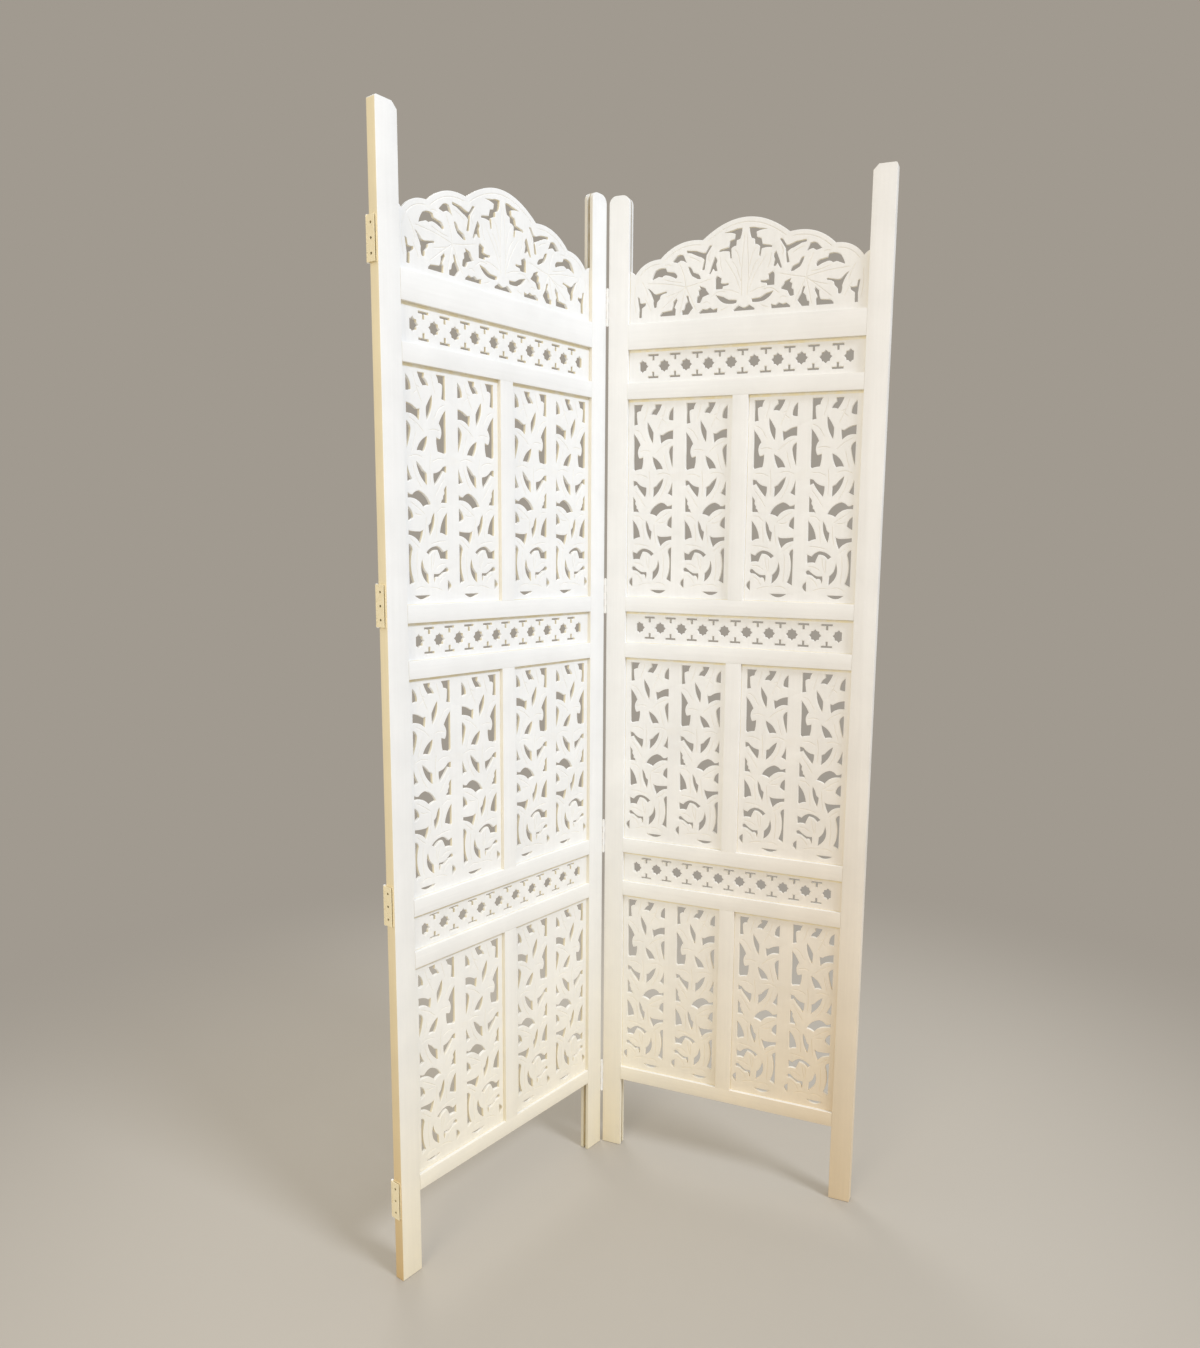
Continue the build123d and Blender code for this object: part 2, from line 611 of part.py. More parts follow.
os.makedirs("parts", exist_ok=True)
for name, group in nodes.items():
    solids = [origin * solid for piece in group for solid in piece.solids()]
    export_step(solids[0] if len(solids) == 1 else Compound(children=solids), "parts/" + name + ".step")
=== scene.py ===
"""Dresses the two-leaf carved jali screen: eased frame members, carved boards, hinges and stage.

Sizes are in metres, and drawings of the carving are in millimetres. A leaf is drawn flat, X along the
leaf from the centre hinges, Y from its front face to its rear one and Z up, and is then set where its
body stands.
"""

import json
from functools import partial
from math import cos, hypot, pi, radians, sin, sqrt

import bmesh
import bpy
import numpy as np
from bpy.props import FloatProperty, FloatVectorProperty, PointerProperty
from mathutils import Matrix, Vector
from mathutils.geometry import delaunay_2d_cdt
from mathutils.kdtree import KDTree

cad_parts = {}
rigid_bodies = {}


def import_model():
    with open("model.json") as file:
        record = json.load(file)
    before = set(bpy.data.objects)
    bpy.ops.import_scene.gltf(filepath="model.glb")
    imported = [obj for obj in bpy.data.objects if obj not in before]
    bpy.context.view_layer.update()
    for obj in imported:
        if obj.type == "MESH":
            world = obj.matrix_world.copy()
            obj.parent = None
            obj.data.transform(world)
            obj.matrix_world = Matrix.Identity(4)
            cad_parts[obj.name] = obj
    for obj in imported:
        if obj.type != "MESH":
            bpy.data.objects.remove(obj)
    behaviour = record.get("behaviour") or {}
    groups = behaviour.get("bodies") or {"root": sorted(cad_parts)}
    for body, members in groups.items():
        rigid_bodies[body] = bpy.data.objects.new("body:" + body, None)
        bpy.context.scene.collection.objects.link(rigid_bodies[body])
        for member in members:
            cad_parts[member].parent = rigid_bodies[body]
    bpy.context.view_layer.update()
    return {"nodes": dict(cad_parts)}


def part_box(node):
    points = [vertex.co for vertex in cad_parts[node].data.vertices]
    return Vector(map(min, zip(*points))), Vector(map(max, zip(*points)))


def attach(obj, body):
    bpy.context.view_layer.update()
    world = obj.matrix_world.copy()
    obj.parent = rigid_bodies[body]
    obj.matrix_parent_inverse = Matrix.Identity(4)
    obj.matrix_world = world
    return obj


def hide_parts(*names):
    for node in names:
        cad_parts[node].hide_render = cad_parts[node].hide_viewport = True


bl_info = {
    "name": "Carved jali screen",
    "version": (1, 0, 0),
    "blender": (4, 5, 0),
    "location": "View3D > Sidebar > Jali screen",
    "description": "Builds the painted frame, carved boards, hinges and stage of a folding jali screen",
    "category": "Object",
}

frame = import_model()
MM = 0.001

# ---------------------------------------------------------------- sizes taken from the frame
outer_low, outer_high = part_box("left_outer_post")
hinge_low, hinge_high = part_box("left_hinge_post")
post_width = outer_high.x - outer_low.x
thickness = outer_high.y - outer_low.y
screen_height = outer_high.z
panel_length = hinge_low.x - outer_high.x
strip_low, strip_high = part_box("left_upper_star_strip")
board_thickness = strip_high.y - strip_low.y
insert = (strip_high.x - strip_low.x - panel_length) / 2
muntin_low, muntin_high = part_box("left_upper_muntin")
muntin_width = muntin_high.x - muntin_low.x

# The right leaf's turn from the line of the left one.
fold = -radians(75.0)
# From the hinge axis across to the edge of a post, and back to the front faces.
half_gap = 2.25 * MM
front = 1.0 * MM
rear = front + thickness
mid_depth = (front + rear) / 2
hinge_axis_x = hinge_high.x + half_gap
hinge_axis_y = hinge_low.y - front

# The groove that holds the boards.
groove_width = 6.0 * MM
groove_depth = 7.0 * MM
groove_front, groove_rear = mid_depth - groove_width / 2, mid_depth + groove_width / 2
board_front, board_rear = mid_depth - board_thickness / 2, mid_depth + board_thickness / 2

panel_start = half_gap + post_width
panel_end = panel_start + panel_length
leaf_end = panel_end + post_width
leaf_middle = (panel_start + panel_end) / 2


def rail_span(name):
    """The foot and head of a left rail."""
    low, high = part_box("left_" + name)
    return low.z, high.z


# From the floor up, a tall window and a strip follow each other between the rails.
rails = ("bottom_rail", "lower_strip_sill_rail", "lower_strip_head_rail", "middle_strip_sill_rail",
         "middle_strip_head_rail", "upper_strip_sill_rail", "top_rail")
openings = [(rail_span(below)[1], rail_span(above)[0]) for below, above in zip(rails, rails[1:])]
tiers = ("lower", "middle", "upper")
windows = dict(zip(tiers, openings[0::2]))
strips = dict(zip(tiers, openings[1::2]))
crest_foot = rail_span("top_rail")[1]

# ---------------------------------------------------------------- carved outlines, in millimetres
# Corners (across, up or down), or with a swell, which is how far the edge to the next corner bows out.
vine_holes = [
    [(0, 0), (18, 0, -1), (13.5, 11.5, -1), (5.5, 14, -0.5), (7.5, 35), (0, 36.5)],
    [(41, 0.5), (54.5, 0.5, 1), (44, 19.5, -1), (33, 18.5, 1.5), (42, 7.5)],
    [(77, 6.5), (77, 29.5, 0.5), (67.5, 27.5, 3)],
    [(27, 31.5, 0.5), (38.5, 50, 0.5), (37.5, 69.5, 4)],
    [(0, 51.5, 1), (13.5, 72, -4), (11.5, 96, -0.5), (19, 93.5, 1), (16.5, 115, -0.5), (2, 118), (0, 115)],
    [(51.5, 54, -0.5), (57, 55, 1.5), (77, 47), (77, 62.5, -3.5), (53, 71.5, 0.5)],
    [(77, 74), (77, 113.5, 1), (69, 85, 2)],
    [(37.5, 93.5, 3.5), (58, 116, -1), (44.5, 117, 1.5)],
    [(0, 136.5, 0.5), (7, 138, -2.5), (26, 148.5, 1), (23.5, 166.5, 1), (6, 143.5, 0.5), (0, 146)],
    [(59.5, 132.5, 4), (39, 167), (39.5, 149.5, 0.5), (45, 146.5, 1)],
    [(77, 139), (77, 164), (68, 159.5, -1)],
    [(0, 166, 0.5), (5, 173.5, -0.5), (4.5, 179), (7, 182.5), (7, 187), (9.5, 188), (12.5, 195.5, -0.5),
     (9, 192.5), (0, 192.5)],
    [(32.5, 196, 3.5), (55.5, 176, 1.5), (68, 182.5, -1), (77, 179.5), (77, 187.5, -5), (46.5, 201, -1)],
    [(0, 208, 3), (14.5, 239, -1), (1.5, 243.5), (0, 241.5)],
    [(26, 208.5, 1), (32.5, 223, -0.5), (37.5, 228, 0.5), (35, 245, 3.5)],
    [(77, 200.5), (77, 222.5, 0.5), (67.5, 217, 2.5)],
    [(49, 235.5, -0.5), (55.5, 238, -0.5), (77, 236.5), (77, 243, -3), (55, 256, 1)],
    [(0, 266), (8, 269, 1.5), (21.5, 260, 2.5), (42.5, 269.5), (36.5, 274, -2.5), (20.5, 265.5, -0.5),
     (14.5, 280, -1), (0, 280.5)],
    [(0, 294, 1.5), (6.5, 295.5, -0.5), (18, 303, -0.5), (28, 303, 1), (27, 316, -0.5), (24, 308.5, -1),
     (18, 308.5), (9, 302, -0.5), (0.5, 300.5, 1.5)],
    [(0, 313.5, 7), (0, 331)],
    [(51.5, 280.5, 7.5), (39, 318.5), (40, 303, -0.5), (47.5, 294.5, -0.5)],
    [(77, 257), (77, 320.5), (67.5, 315.5, -5), (70, 266, 2)],
    [(37, 336, 6), (67, 336)],
]
vine_drawn_width = max(corner[0] for hole in vine_holes for corner in hole)
vine_drawn_height = max(corner[1] for hole in vine_holes for corner in hole)
vine_side_margin = 10.5
vine_column_gap = 25.5
vine_top_margin = 9.5
vine_bottom_margin = 13.5

# Midribs of the leaves and buds along the stem, as runs of corners on the same drawing.
vine_veins = [
    [(28, 2), (25, 14), (20, 30)],
    [(63, 4), (58, 20), (47, 44)],
    [(58, 20), (50, 24)], [(55, 27), (63, 33)],
    [(2, 44), (13, 50), (23, 66)],
    [(44, 88), (56, 77), (73, 68)],
    [(33, 84), (23, 82), (12, 84)],
    [(60, 90), (63, 103), (68, 119)],
    [(4, 126), (16, 126), (28, 131)], [(47, 126), (60, 123), (74, 127)],
    [(31, 120), (33, 140), (32, 164)],
    [(50, 172), (60, 156), (66, 138)],
    [(4, 155), (14, 168), (24, 184)],
    [(44, 212), (58, 202), (73, 193)], [(50, 213), (60, 212), (65, 209)],
    [(2, 200), (12, 201), (21, 209)],
    [(19, 215), (21, 230), (22, 246)],
    [(42, 216), (43, 232), (46, 250)],
    [(3, 252), (18, 253), (34, 257)],
    [(56, 264), (64, 257), (74, 249)],
    [(26, 271), (28, 284), (32, 298)], [(33, 274), (33, 284), (33, 296)],
    [(3, 287), (14, 288), (24, 294)],
    [(61, 268), (62, 292), (60, 316)],
    [(5, 306), (14, 312), (20, 322)],
    [(12, 329), (24, 325), (36, 324)], [(45, 324), (56, 323), (66, 327)],
]

crest_top_edge = [
    (215, 93, 1), (205, 85.5, 7), (157, 109, 10.5), (78, 134, 31),
    (-78, 134, 10.5), (-157, 109, 7), (-205, 85.5, 1), (-215, 93),
]
crest_middle_hole = [
    (19, 11.5), (19, 14), (9.5, 20.5), (4.5, 17.5), (0, 16), (-4.5, 17.5),
    (-9.5, 20.5), (-19, 14), (-19, 11.5),
]
crest_half_holes = [
    [(200, 47.5), (196.5, 46), (195, 37, -1), (185, 37, 1), (185, 32), (191.5, 27.5), (192, 11.5),
     (197.5, 11.5), (197, 26)],
    [(180.5, 61, 1), (169.5, 52.5, -1), (162, 50), (145, 53.5, 1), (144.5, 50.5, -1), (155.5, 47),
     (157, 41.5), (162.5, 36), (163.5, 28, 1), (168.5, 28, 1), (170, 40, -1)],
    [(173.5, 74, 1), (165.5, 90, 2), (146, 92.5), (144, 87), (134.5, 85, 2), (124.5, 78, 1),
     (127.5, 74, -1), (145.5, 81, -1), (153, 78), (159.5, 79.5)],
    [(134, 102.5), (126.5, 110.5, 2), (113.5, 112), (107, 98.5, -1), (118.5, 103.5), (124.5, 100)],
    [(106.5, 119), (89, 117), (76.5, 112.5), (72.5, 113), (66, 123, 1), (61, 123), (70.5, 108.5),
     (73.5, 85, 1), (78.5, 85), (74.5, 101.5, -1), (85, 107.5), (99, 114), (106.5, 115, 1)],
    [(55, 104.5, 1), (50.5, 97), (52.5, 92), (50, 80.5), (54.5, 80.5), (57.5, 85), (62, 77.5, 1),
     (65.5, 77), (61.5, 89)],
    [(104, 91.5, 1), (97.5, 88), (94.5, 82), (85, 78, 1), (80.5, 69.5), (86, 70), (97, 76, 1)],
    [(38, 142), (22.5, 145, 1), (6.5, 147, 1), (10, 130), (16, 128), (16.5, 119.5, -1), (25.5, 115.5),
     (24.5, 100, 1), (27, 99), (29, 111, -1), (47, 111.5, 1), (45.5, 115), (30.5, 118), (28, 128),
     (20.5, 130.5), (19, 139, -1)],
    [(53, 50), (53, 66.5, 1), (49.5, 72), (42, 68), (43, 60, -1), (29.5, 59, 1), (29.5, 55.5), (39, 54),
     (40, 50)],
    [(82.5, 58), (71.5, 54), (69, 49), (64, 43), (76, 39), (80.5, 30, 1), (88, 31), (87, 39.5),
     (83.5, 42.5), (84.5, 50), (80, 53)],
    [(51.5, 40), (39, 37), (28, 31), (14, 30, 1), (15, 24.5, 1), (35, 25.5, 2)],
    [(156.5, 11.5), (156.5, 14), (152, 18.5), (134.5, 20.5, -1), (131.5, 34.5), (125, 40.5),
     (123.5, 36.5), (129, 25), (126.5, 22), (127, 11.5)],
    [(115, 11.5), (115, 18.5), (111, 20.5), (109, 28.5), (104, 33.5), (107, 42.5, 1), (103, 42.5),
     (100.5, 33), (94, 22), (102.5, 11.5)],
    [(82, 11.5), (82, 14), (75.5, 19), (68.5, 17.5), (62, 20.5), (56.5, 16.5), (48.5, 18.5), (49, 11.5)],
]
crest_drawn_half_width = max(corner[0] for corner in crest_top_edge)

# Veins of the three chinar leaves, the small leaves between them and the line under the lobes.
crest_middle_veins = [
    [(-5, 36), (-6, 80), (-2, 136)],
    [(5, 36), (6, 80), (2, 136)],
]
crest_half_veins = [
    [(8, 46), (18, 70), (36, 98)],
    [(9, 40), (24, 46), (38, 48)],
    [(8, 84), (13, 104), (19, 114)],
    [(7, 60), (16, 84), (24, 94)],
    [(108, 58), (112, 78), (120, 97)],
    [(108, 58), (140, 65), (181, 69)],
    [(108, 58), (130, 42), (153, 24)],
    [(108, 58), (114, 36), (119, 14)],
    [(108, 58), (98, 38), (88, 18)],
    [(108, 58), (86, 62), (62, 68)],
    [(116, 66), (134, 69), (150, 74)], [(116, 52), (132, 47), (146, 44)],
    [(40, 78), (44, 88), (46, 104)],
    [(34, 44), (48, 45), (62, 36)],
    [(62, 26), (68, 30), (76, 28)], [(30, 19), (36, 16), (44, 14)],
    [(64, 96), (67, 104), (63, 114)],
    [(82, 98), (92, 104), (103, 108)],
    [(136, 96), (143, 98), (150, 97)],
    [(180, 48), (185, 62), (192, 74)],
    [(174, 22), (180, 34), (186, 44)],
    [(203, 20), (206, 40), (205, 66)],
]
crest_border = 8.5

star_pitch = 42.0
star_tip = 11.2
star_diagonal_tip = 10.2
star_notch = 8.4
star_end_cut = 5.5
star_count = 10
tee_margin = 8.5
tee_outline = [(-10, 0), (10, 0), (10, 3.5), (2, 3.5), (2, 11), (-2, 11), (-2, 3.5), (-10, 3.5)]

# Dust lies in a line along the seams and up to a little below the shoulders of the crest; under the rail
# at the head lies a band of painted shadow, as high as the rail's cast shadow on the board.
dust_reach = 1.5
head_shadow_band = 4.2
head_shadow_fade = 0.8
shoulder_dust_gap = 9.0

# How dusty or worn the paint is, from 0 to 1; the seams' value also paints the shadow band under the
# head rail, the veins' and walls' values are painted shade, and a groove of a post also holds old dirt.
seam_dust_and_shadow = 0.65
rim_stain = 0.07
vein_shade = 0.2
wall_shade = 0.12
arris_stain = 0.1
rail_groove_stain = 0.3
post_groove_stain = 0.9


# ---------------------------------------------------------------- what a user may change
def linear(hex_colour):
    """An sRGB hex colour as linear RGBA."""
    channels = [int(hex_colour[i:i + 2], 16) / 255 for i in (1, 3, 5)]
    return tuple(c / 12.92 if c <= 0.04045 else ((c + 0.055) / 1.055) ** 2.4 for c in channels) + (1.0,)


def colour_setting(name, description, hex_colour):
    """A colour that a user may change."""
    return FloatVectorProperty(name=name, description=description, subtype="COLOR", size=3,
                               min=0.0, max=1.0, default=linear(hex_colour)[:3])


def length_setting(name, description, default, smallest, largest):
    """A length that a user may change."""
    return FloatProperty(name=name, description=description, unit="LENGTH", subtype="DISTANCE",
                         min=smallest, max=largest, default=default)


def power_setting(name, description, default):
    """A lamp's power that a user may change."""
    return FloatProperty(name=name, description=description, unit="POWER",
                         min=0.0, max=2000.0, default=default)


class JaliPaint(bpy.types.PropertyGroup):
    """Colours of the paint, its yellower foot, its painted shade and the hinges."""

    ivory: colour_setting("Ivory", "Brushed paint on the upper half of the screen", "#F5F6F6")
    # The yellower colour of the paint towards the floor.
    floor_ivory: colour_setting("Aged ivory", "The same paint, yellowed, near the floor", "#F5EACE")
    # Painted shade: darker towards the free end of the right leaf, the more so the lower down.
    free_end_shade_ivory: colour_setting(
        "Handled ivory", "The same paint at the free edge of the right leaf, where it is held", "#DEC6A3")
    # Also the colour of the painted shadow under the head rails and the painted shade in veins and hole
    # walls.
    seam_dust_and_shade: colour_setting("Seam dust", "Yellow dust along the seams and in the cuts", "#EEDC9C")
    grime: colour_setting("Grime", "Old dirt deep in the grooves of the posts", "#8B734F")
    # Painted shade: the warmer cream of the hinges on the shaded outer side of the left leaf.
    hinge_cream: colour_setting("Hinge cream", "Paint brushed over the steel hinges", "#F9EDCB")


class JaliCarving(bpy.types.PropertyGroup):
    """How the carver and the joiner finished the edges."""

    arris: length_setting(
        "Arris", "Radius that eases the long edges of rails and muntins", 0.0006, 0.0002, 0.003)
    post_arris: length_setting(
        "Post arris", "Radius that eases the long edges of the posts", 0.0008, 0.0002, 0.004)
    hole_easing: length_setting(
        "Hole easing", "How far the rubbed edge of a pierced hole reaches into the face",
        0.0009, 0.0002, 0.003)
    hole_drop: length_setting(
        "Hole drop", "How deep the rubbed edge of a pierced hole falls away", 0.0007, 0.0001, 0.002)
    vein_width: length_setting("Vein width", "Width of a cut vein at the face", 0.002, 0.0004, 0.005)
    vein_depth: length_setting("Vein depth", "Depth of a cut vein", 0.0007, 0.0001, 0.002)


class JaliStage(bpy.types.PropertyGroup):
    """Floor, background and lamps."""

    backdrop: colour_setting("Backdrop", "Plain background", "#A19A90")
    floor: colour_setting("Floor", "Plain matt floor", "#BBB5AB")
    sky_strength: FloatProperty(
        name="Sky", description="Even light from all round", min=0.0, max=3.0, default=0.67)
    key_power: power_setting("Key lamp", "Power of the large soft lamp in front", 700.0)
    fill_power: power_setting("Fill lamp", "Power of the soft lamp on the hinge side", 28.0)
    back_power: power_setting("Back lamp", "Power of the soft lamp behind the screen", 25.0)


# ---------------------------------------------------------------- outlines and meshes
# Edges that turn by more than this stay sharp.
sharp_angle = radians(50)


def signed_area(outline):
    """Twice the area of an outline, positive where it runs anticlockwise."""
    return sum(a[0] * b[1] - b[0] * a[1] for a, b in zip(outline, outline[1:] + outline[:1]))


def edges_of(outline):
    """The start, run and swell of each edge of an outline, whose corners may leave out a swell of 0."""
    for start, end in zip(outline, outline[1:] + outline[:1]):
        yield start[0], start[1], end[0] - start[0], end[1] - start[1], start[2] if len(start) > 2 else 0


def bowed(outline, step):
    """Points along an outline with the swollen edges drawn as parabolas."""
    outward = 1 if signed_area(outline) >= 0 else -1
    points = []
    for x, z, run_x, run_z, swell in edges_of(outline):
        length = hypot(run_x, run_z)
        pieces = max(1, round(length / step))
        for t in (i / pieces for i in range(pieces)):
            bow = 4 * t * (1 - t) * swell * outward / length
            points.append((x + run_x * t + run_z * bow, z + run_z * t - run_x * bow))
    return points


def along(corners, step):
    """Points along a smooth open run of corners, a Catmull-Rom curve."""
    points = [corners[0]]
    for i in range(len(corners) - 1):
        before = corners[max(i - 1, 0)]
        start, end = corners[i], corners[i + 1]
        after = corners[min(i + 2, len(corners) - 1)]
        pieces = max(1, round(hypot(end[0] - start[0], end[1] - start[1]) / step))
        for k in range(1, pieces + 1):
            t = k / pieces
            weights = (-t ** 3 + 2 * t ** 2 - t, 3 * t ** 3 - 5 * t ** 2 + 2,
                       -3 * t ** 3 + 4 * t ** 2 + t, t ** 3 - t ** 2)
            points.append(tuple(0.5 * sum(w * p[axis] for w, p in zip(weights, (before, start, end, after)))
                                for axis in (0, 1)))
    return points


def beside(start, end, spot, away):
    """The point beside a spot, to its right for a walker from start to end."""
    length = hypot(end[0] - start[0], end[1] - start[1]) or 1.0
    return (spot[0] + (end[1] - start[1]) / length * away, spot[1] - (end[0] - start[0]) / length * away)


def inside(points, polygon):
    """Which of the points, an N by 2 array, lie in the polygon."""
    corners = np.array(polygon)
    x, z = points[:, 0], points[:, 1]
    hit = np.zeros(len(points), bool)
    previous = corners[-1]
    for corner in corners:
        crosses = (corner[1] > z) != (previous[1] > z)
        rise = previous[1] - corner[1]
        if rise:
            hit ^= crosses & (x < (previous[0] - corner[0]) * (z - corner[1]) / rise + corner[0])
        previous = corner
    return hit


def search_tree(points):
    """A search tree over points of the face."""
    tree = KDTree(len(points))
    for i, point in enumerate(points):
        tree.insert((*point, 0.0), i)
    tree.balance()
    return tree


def distance(tree, point):
    """From a point of the face to the nearest one in the tree."""
    return tree.find((*point, 0.0))[2]


def shifted(outline, across, up, x_scale=1.0, z_scale=1.0):
    """An outline or run of corners scaled and then moved; the swell stays."""
    return [(across + p[0] * x_scale, up + p[1] * z_scale, *p[2:]) for p in outline]


def rectangle(left, foot, right, head):
    """A plain outline."""
    return [(left, foot), (right, foot), (right, head), (left, head)]


def set_stains_and_shade(mesh, stains_and_shade):
    """Writes how dusty, worn or deep in painted shade each point of a mesh is."""
    mesh.attributes.new("stain", "FLOAT", "POINT").data.foreach_set("value", np.array(stains_and_shade, np.float32))


def shade(mesh):
    """Shades a mesh smooth between its sharp edges."""
    mesh.shade_smooth()
    mesh.set_sharp_from_angle(angle=sharp_angle)


# ---------------------------------------------------------------- carved boards
# Steps between points, in millimetres: along a carved edge, along one that the frame hides, along a
# vein or the line under the lobes, and along the fine outline that distances are measured to.
edge_step = 2.0
hidden_step = 12.0
vein_step = 1.0
fine_step = 0.1
# Rings of points beside a rubbed edge, as shares of the easing: at its corners and between them.
corner_rings = (0.3, 1.0)
middle_rings = (0.3, 1.0, 1.9)
# Lines of points beside a vein, as shares of its half width.
vein_rings = (1.0, 1.6)
# A ring point stays only where no other edge is nearer than this share of its own distance.
own_share = 0.93
# A vein keeps this far from the easing of an edge, and its ring points this far from the edge.
vein_clearance = 0.2
vein_ring_clearance = 0.3
# A vein starts at this share of its depth and takes this many points to reach all of it.
vein_end_share = 0.25
vein_end_points = 4.0
# Points closer than this are one, in millimetres.
weld = 1e-4


def cut_points(veins, edge_tree, clearance):
    """Points along the veins, the share of the full depth at each, and the run of each vein."""
    cuts = []
    shares = []
    runs = []
    for vein in veins:
        points = along(vein, vein_step)
        run = []
        for i, point in enumerate(points):
            if distance(edge_tree, point) < clearance:
                continue
            from_end = min(i, len(points) - 1 - i)
            run.append(len(cuts))
            cuts.append(point)
            shares.append(min(1.0, vein_end_share + from_end / vein_end_points))
        runs.append(run)
    return cuts, shares, runs


def rim_rings(loops, easing, edge_tree):
    """Points beside the rubbed edges, given as loops with 1 for wood outside them and -1 for inside."""
    points = []
    for loop, wood in loops:
        side = wood if signed_area(loop) >= 0 else -wood
        for before, corner, after in zip(loop[-1:] + loop[:-1], loop, loop[1:] + loop[:1]):
            middle = ((corner[0] + after[0]) / 2, (corner[1] + after[1]) / 2)
            spots = ((corner, before, after, corner_rings), (middle, corner, after, middle_rings))
            for spot, start, end, shares in spots:
                for away in (easing * share for share in shares):
                    point = beside(start, end, spot, away * side)
                    if distance(edge_tree, point) > away * own_share:
                        points.append(point)
    return points


def vein_sides(cuts, runs, half_vein, edge_tree, cut_tree):
    """Points along both sides of the veins."""
    points = []
    for run in runs:
        for a, b in zip(run, run[1:]):
            for side in (-1, 1):
                for away in (half_vein * share for share in vein_rings):
                    point = beside(cuts[a], cuts[b], cuts[a], away * side)
                    clear = distance(edge_tree, point) > vein_ring_clearance
                    if clear and distance(cut_tree, point) > away * own_share:
                        points.append(point)
    return points


def two_faced_mesh(name, face, falls, stains_and_shade, triangles, rings):
    """A board with the same face on both sides and walls down its rings, the first of which is its rim."""
    near, far = board_front / MM, board_rear / MM
    count = len(face)
    vertices = [(x, near + fall, z) for (x, z), fall in zip(face, falls)]
    vertices += [(x, far - fall, z) for (x, z), fall in zip(face, falls)]
    stains_and_shade = stains_and_shade + stains_and_shade
    faces = []
    for a, b, c in triangles:
        faces += [(a, b, c), (count + a, count + c, count + b)]
    for number, ring in enumerate(rings):
        middle = len(vertices)
        vertices += [(face[v][0], (near + far) / 2, face[v][1]) for v in ring]
        # Painted shade on the walls of the holes.
        stains_and_shade += [wall_shade] * len(ring)
        hole = number > 0
        outward = (signed_area([face[v] for v in ring]) > 0) == hole
        for i in range(len(ring)):
            j = (i + 1) % len(ring)
            for quad in ((ring[i], ring[j], middle + j, middle + i),
                         (middle + i, middle + j, count + ring[j], count + ring[i])):
                faces.append(quad if outward else quad[::-1])
    mesh = bpy.data.meshes.new(name)
    mesh.from_pydata([(x * MM, y * MM, z * MM) for x, y, z in vertices], [], faces)
    set_stains_and_shade(mesh, stains_and_shade)
    mesh.validate()
    shade(mesh)
    return mesh


def carved_mesh(name, outline, holes, veins, seams, rub_outline):
    """A pierced board with rubbed hole edges and cut veins on both faces.

    Outlines are in millimetres on the face; the mesh is in metres, front face at the front. Each seam
    is a line where dust lies, with the line where it ends; the one under the head rail is a band of
    painted shadow.
    """
    carving = bpy.context.scene.jali_carving
    easing, drop = carving.hole_easing / MM, carving.hole_drop / MM
    half_vein, vein_depth = carving.vein_width / MM / 2, carving.vein_depth / MM

    rims = [bowed(hole, edge_step) for hole in holes]
    border = bowed(outline, edge_step if rub_outline else hidden_step)
    rubbed = holes + [outline] if rub_outline else holes
    edge_tree = search_tree([point for edge in rubbed for point in bowed(edge, fine_step)])
    cuts, shares, runs = cut_points(veins, edge_tree, easing + vein_clearance)
    cut_tree = search_tree(cuts)

    corners = []
    edges = []
    loops = []
    for loop in [border] + rims:
        numbers = list(range(len(corners), len(corners) + len(loop)))
        corners += loop
        loops.append(numbers)
        edges += [(numbers[i - 1], numbers[i]) for i in range(len(loop))]
    seam_corners = set()
    for seam, dust_and_shadow_end in seams:
        seam_corners.update(range(len(corners), len(corners) + len(seam)))
        for line in (seam, dust_and_shadow_end):
            start = len(corners)
            corners += line
            edges += [(i, i + 1) for i in range(start, len(corners) - 1)]
    start = len(corners)
    corners += cuts
    edges += [(start + a, start + b) for run in runs for a, b in zip(run, run[1:])]
    rubbed_loops = [(rim, 1) for rim in rims] + ([(border, -1)] if rub_outline else [])
    corners += rim_rings(rubbed_loops, easing, edge_tree)
    corners += vein_sides(cuts, runs, half_vein, edge_tree, cut_tree)

    found, _, triangles, origins, _, _ = delaunay_2d_cdt([Vector(c) for c in corners], edges, [], 0, weld)
    place = np.array([(v.x, v.y) for v in found])
    triangles = np.array([t[:3] for t in triangles])
    middles = place[triangles].mean(axis=1)
    keep = inside(middles, border)
    for rim in rims:
        keep &= ~inside(middles, rim)
    triangles = triangles[keep].tolist()
    index = {old: new for new, olds in enumerate(origins) for old in olds}
    loops = [[index[i] for i in loop] for loop in loops]
    rim_points = {i for loop in (loops if rub_outline else loops[1:]) for i in loop}
    seam_points = {index[i] for i in seam_corners}
    used = sorted({i for group in triangles + loops for i in group})

    falls = []
    stains_and_shade = []
    for i in used:
        gap = distance(edge_tree, place[i])
        fall = drop if i in rim_points else 0.0
        if i not in rim_points and gap < easing:
            fall = drop * (1 - sqrt(1 - (1 - gap / easing) ** 2))
        # Seams take dust, the band under the head rail painted shadow, rims wear, and veins painted shade.
        stain = seam_dust_and_shadow if i in seam_points else rim_stain if i in rim_points else 0.0
        if cuts:
            _, which, away = cut_tree.find((*place[i], 0.0))
            if away < half_vein:
                depth = vein_depth * shares[which] * (1 - away / half_vein)
                fall = max(fall, depth)
                stain = max(stain, vein_shade * depth / vein_depth)
        falls.append(fall)
        stains_and_shade.append(stain)

    order = {old: new for new, old in enumerate(used)}
    triangles = [[order[i] for i in triangle] for triangle in triangles]
    rings = [[order[v] for i, v in enumerate(loop) if v != loop[i - 1]] for loop in loops]
    return two_faced_mesh(name, [tuple(place[i]) for i in used], falls, stains_and_shade, triangles, rings)


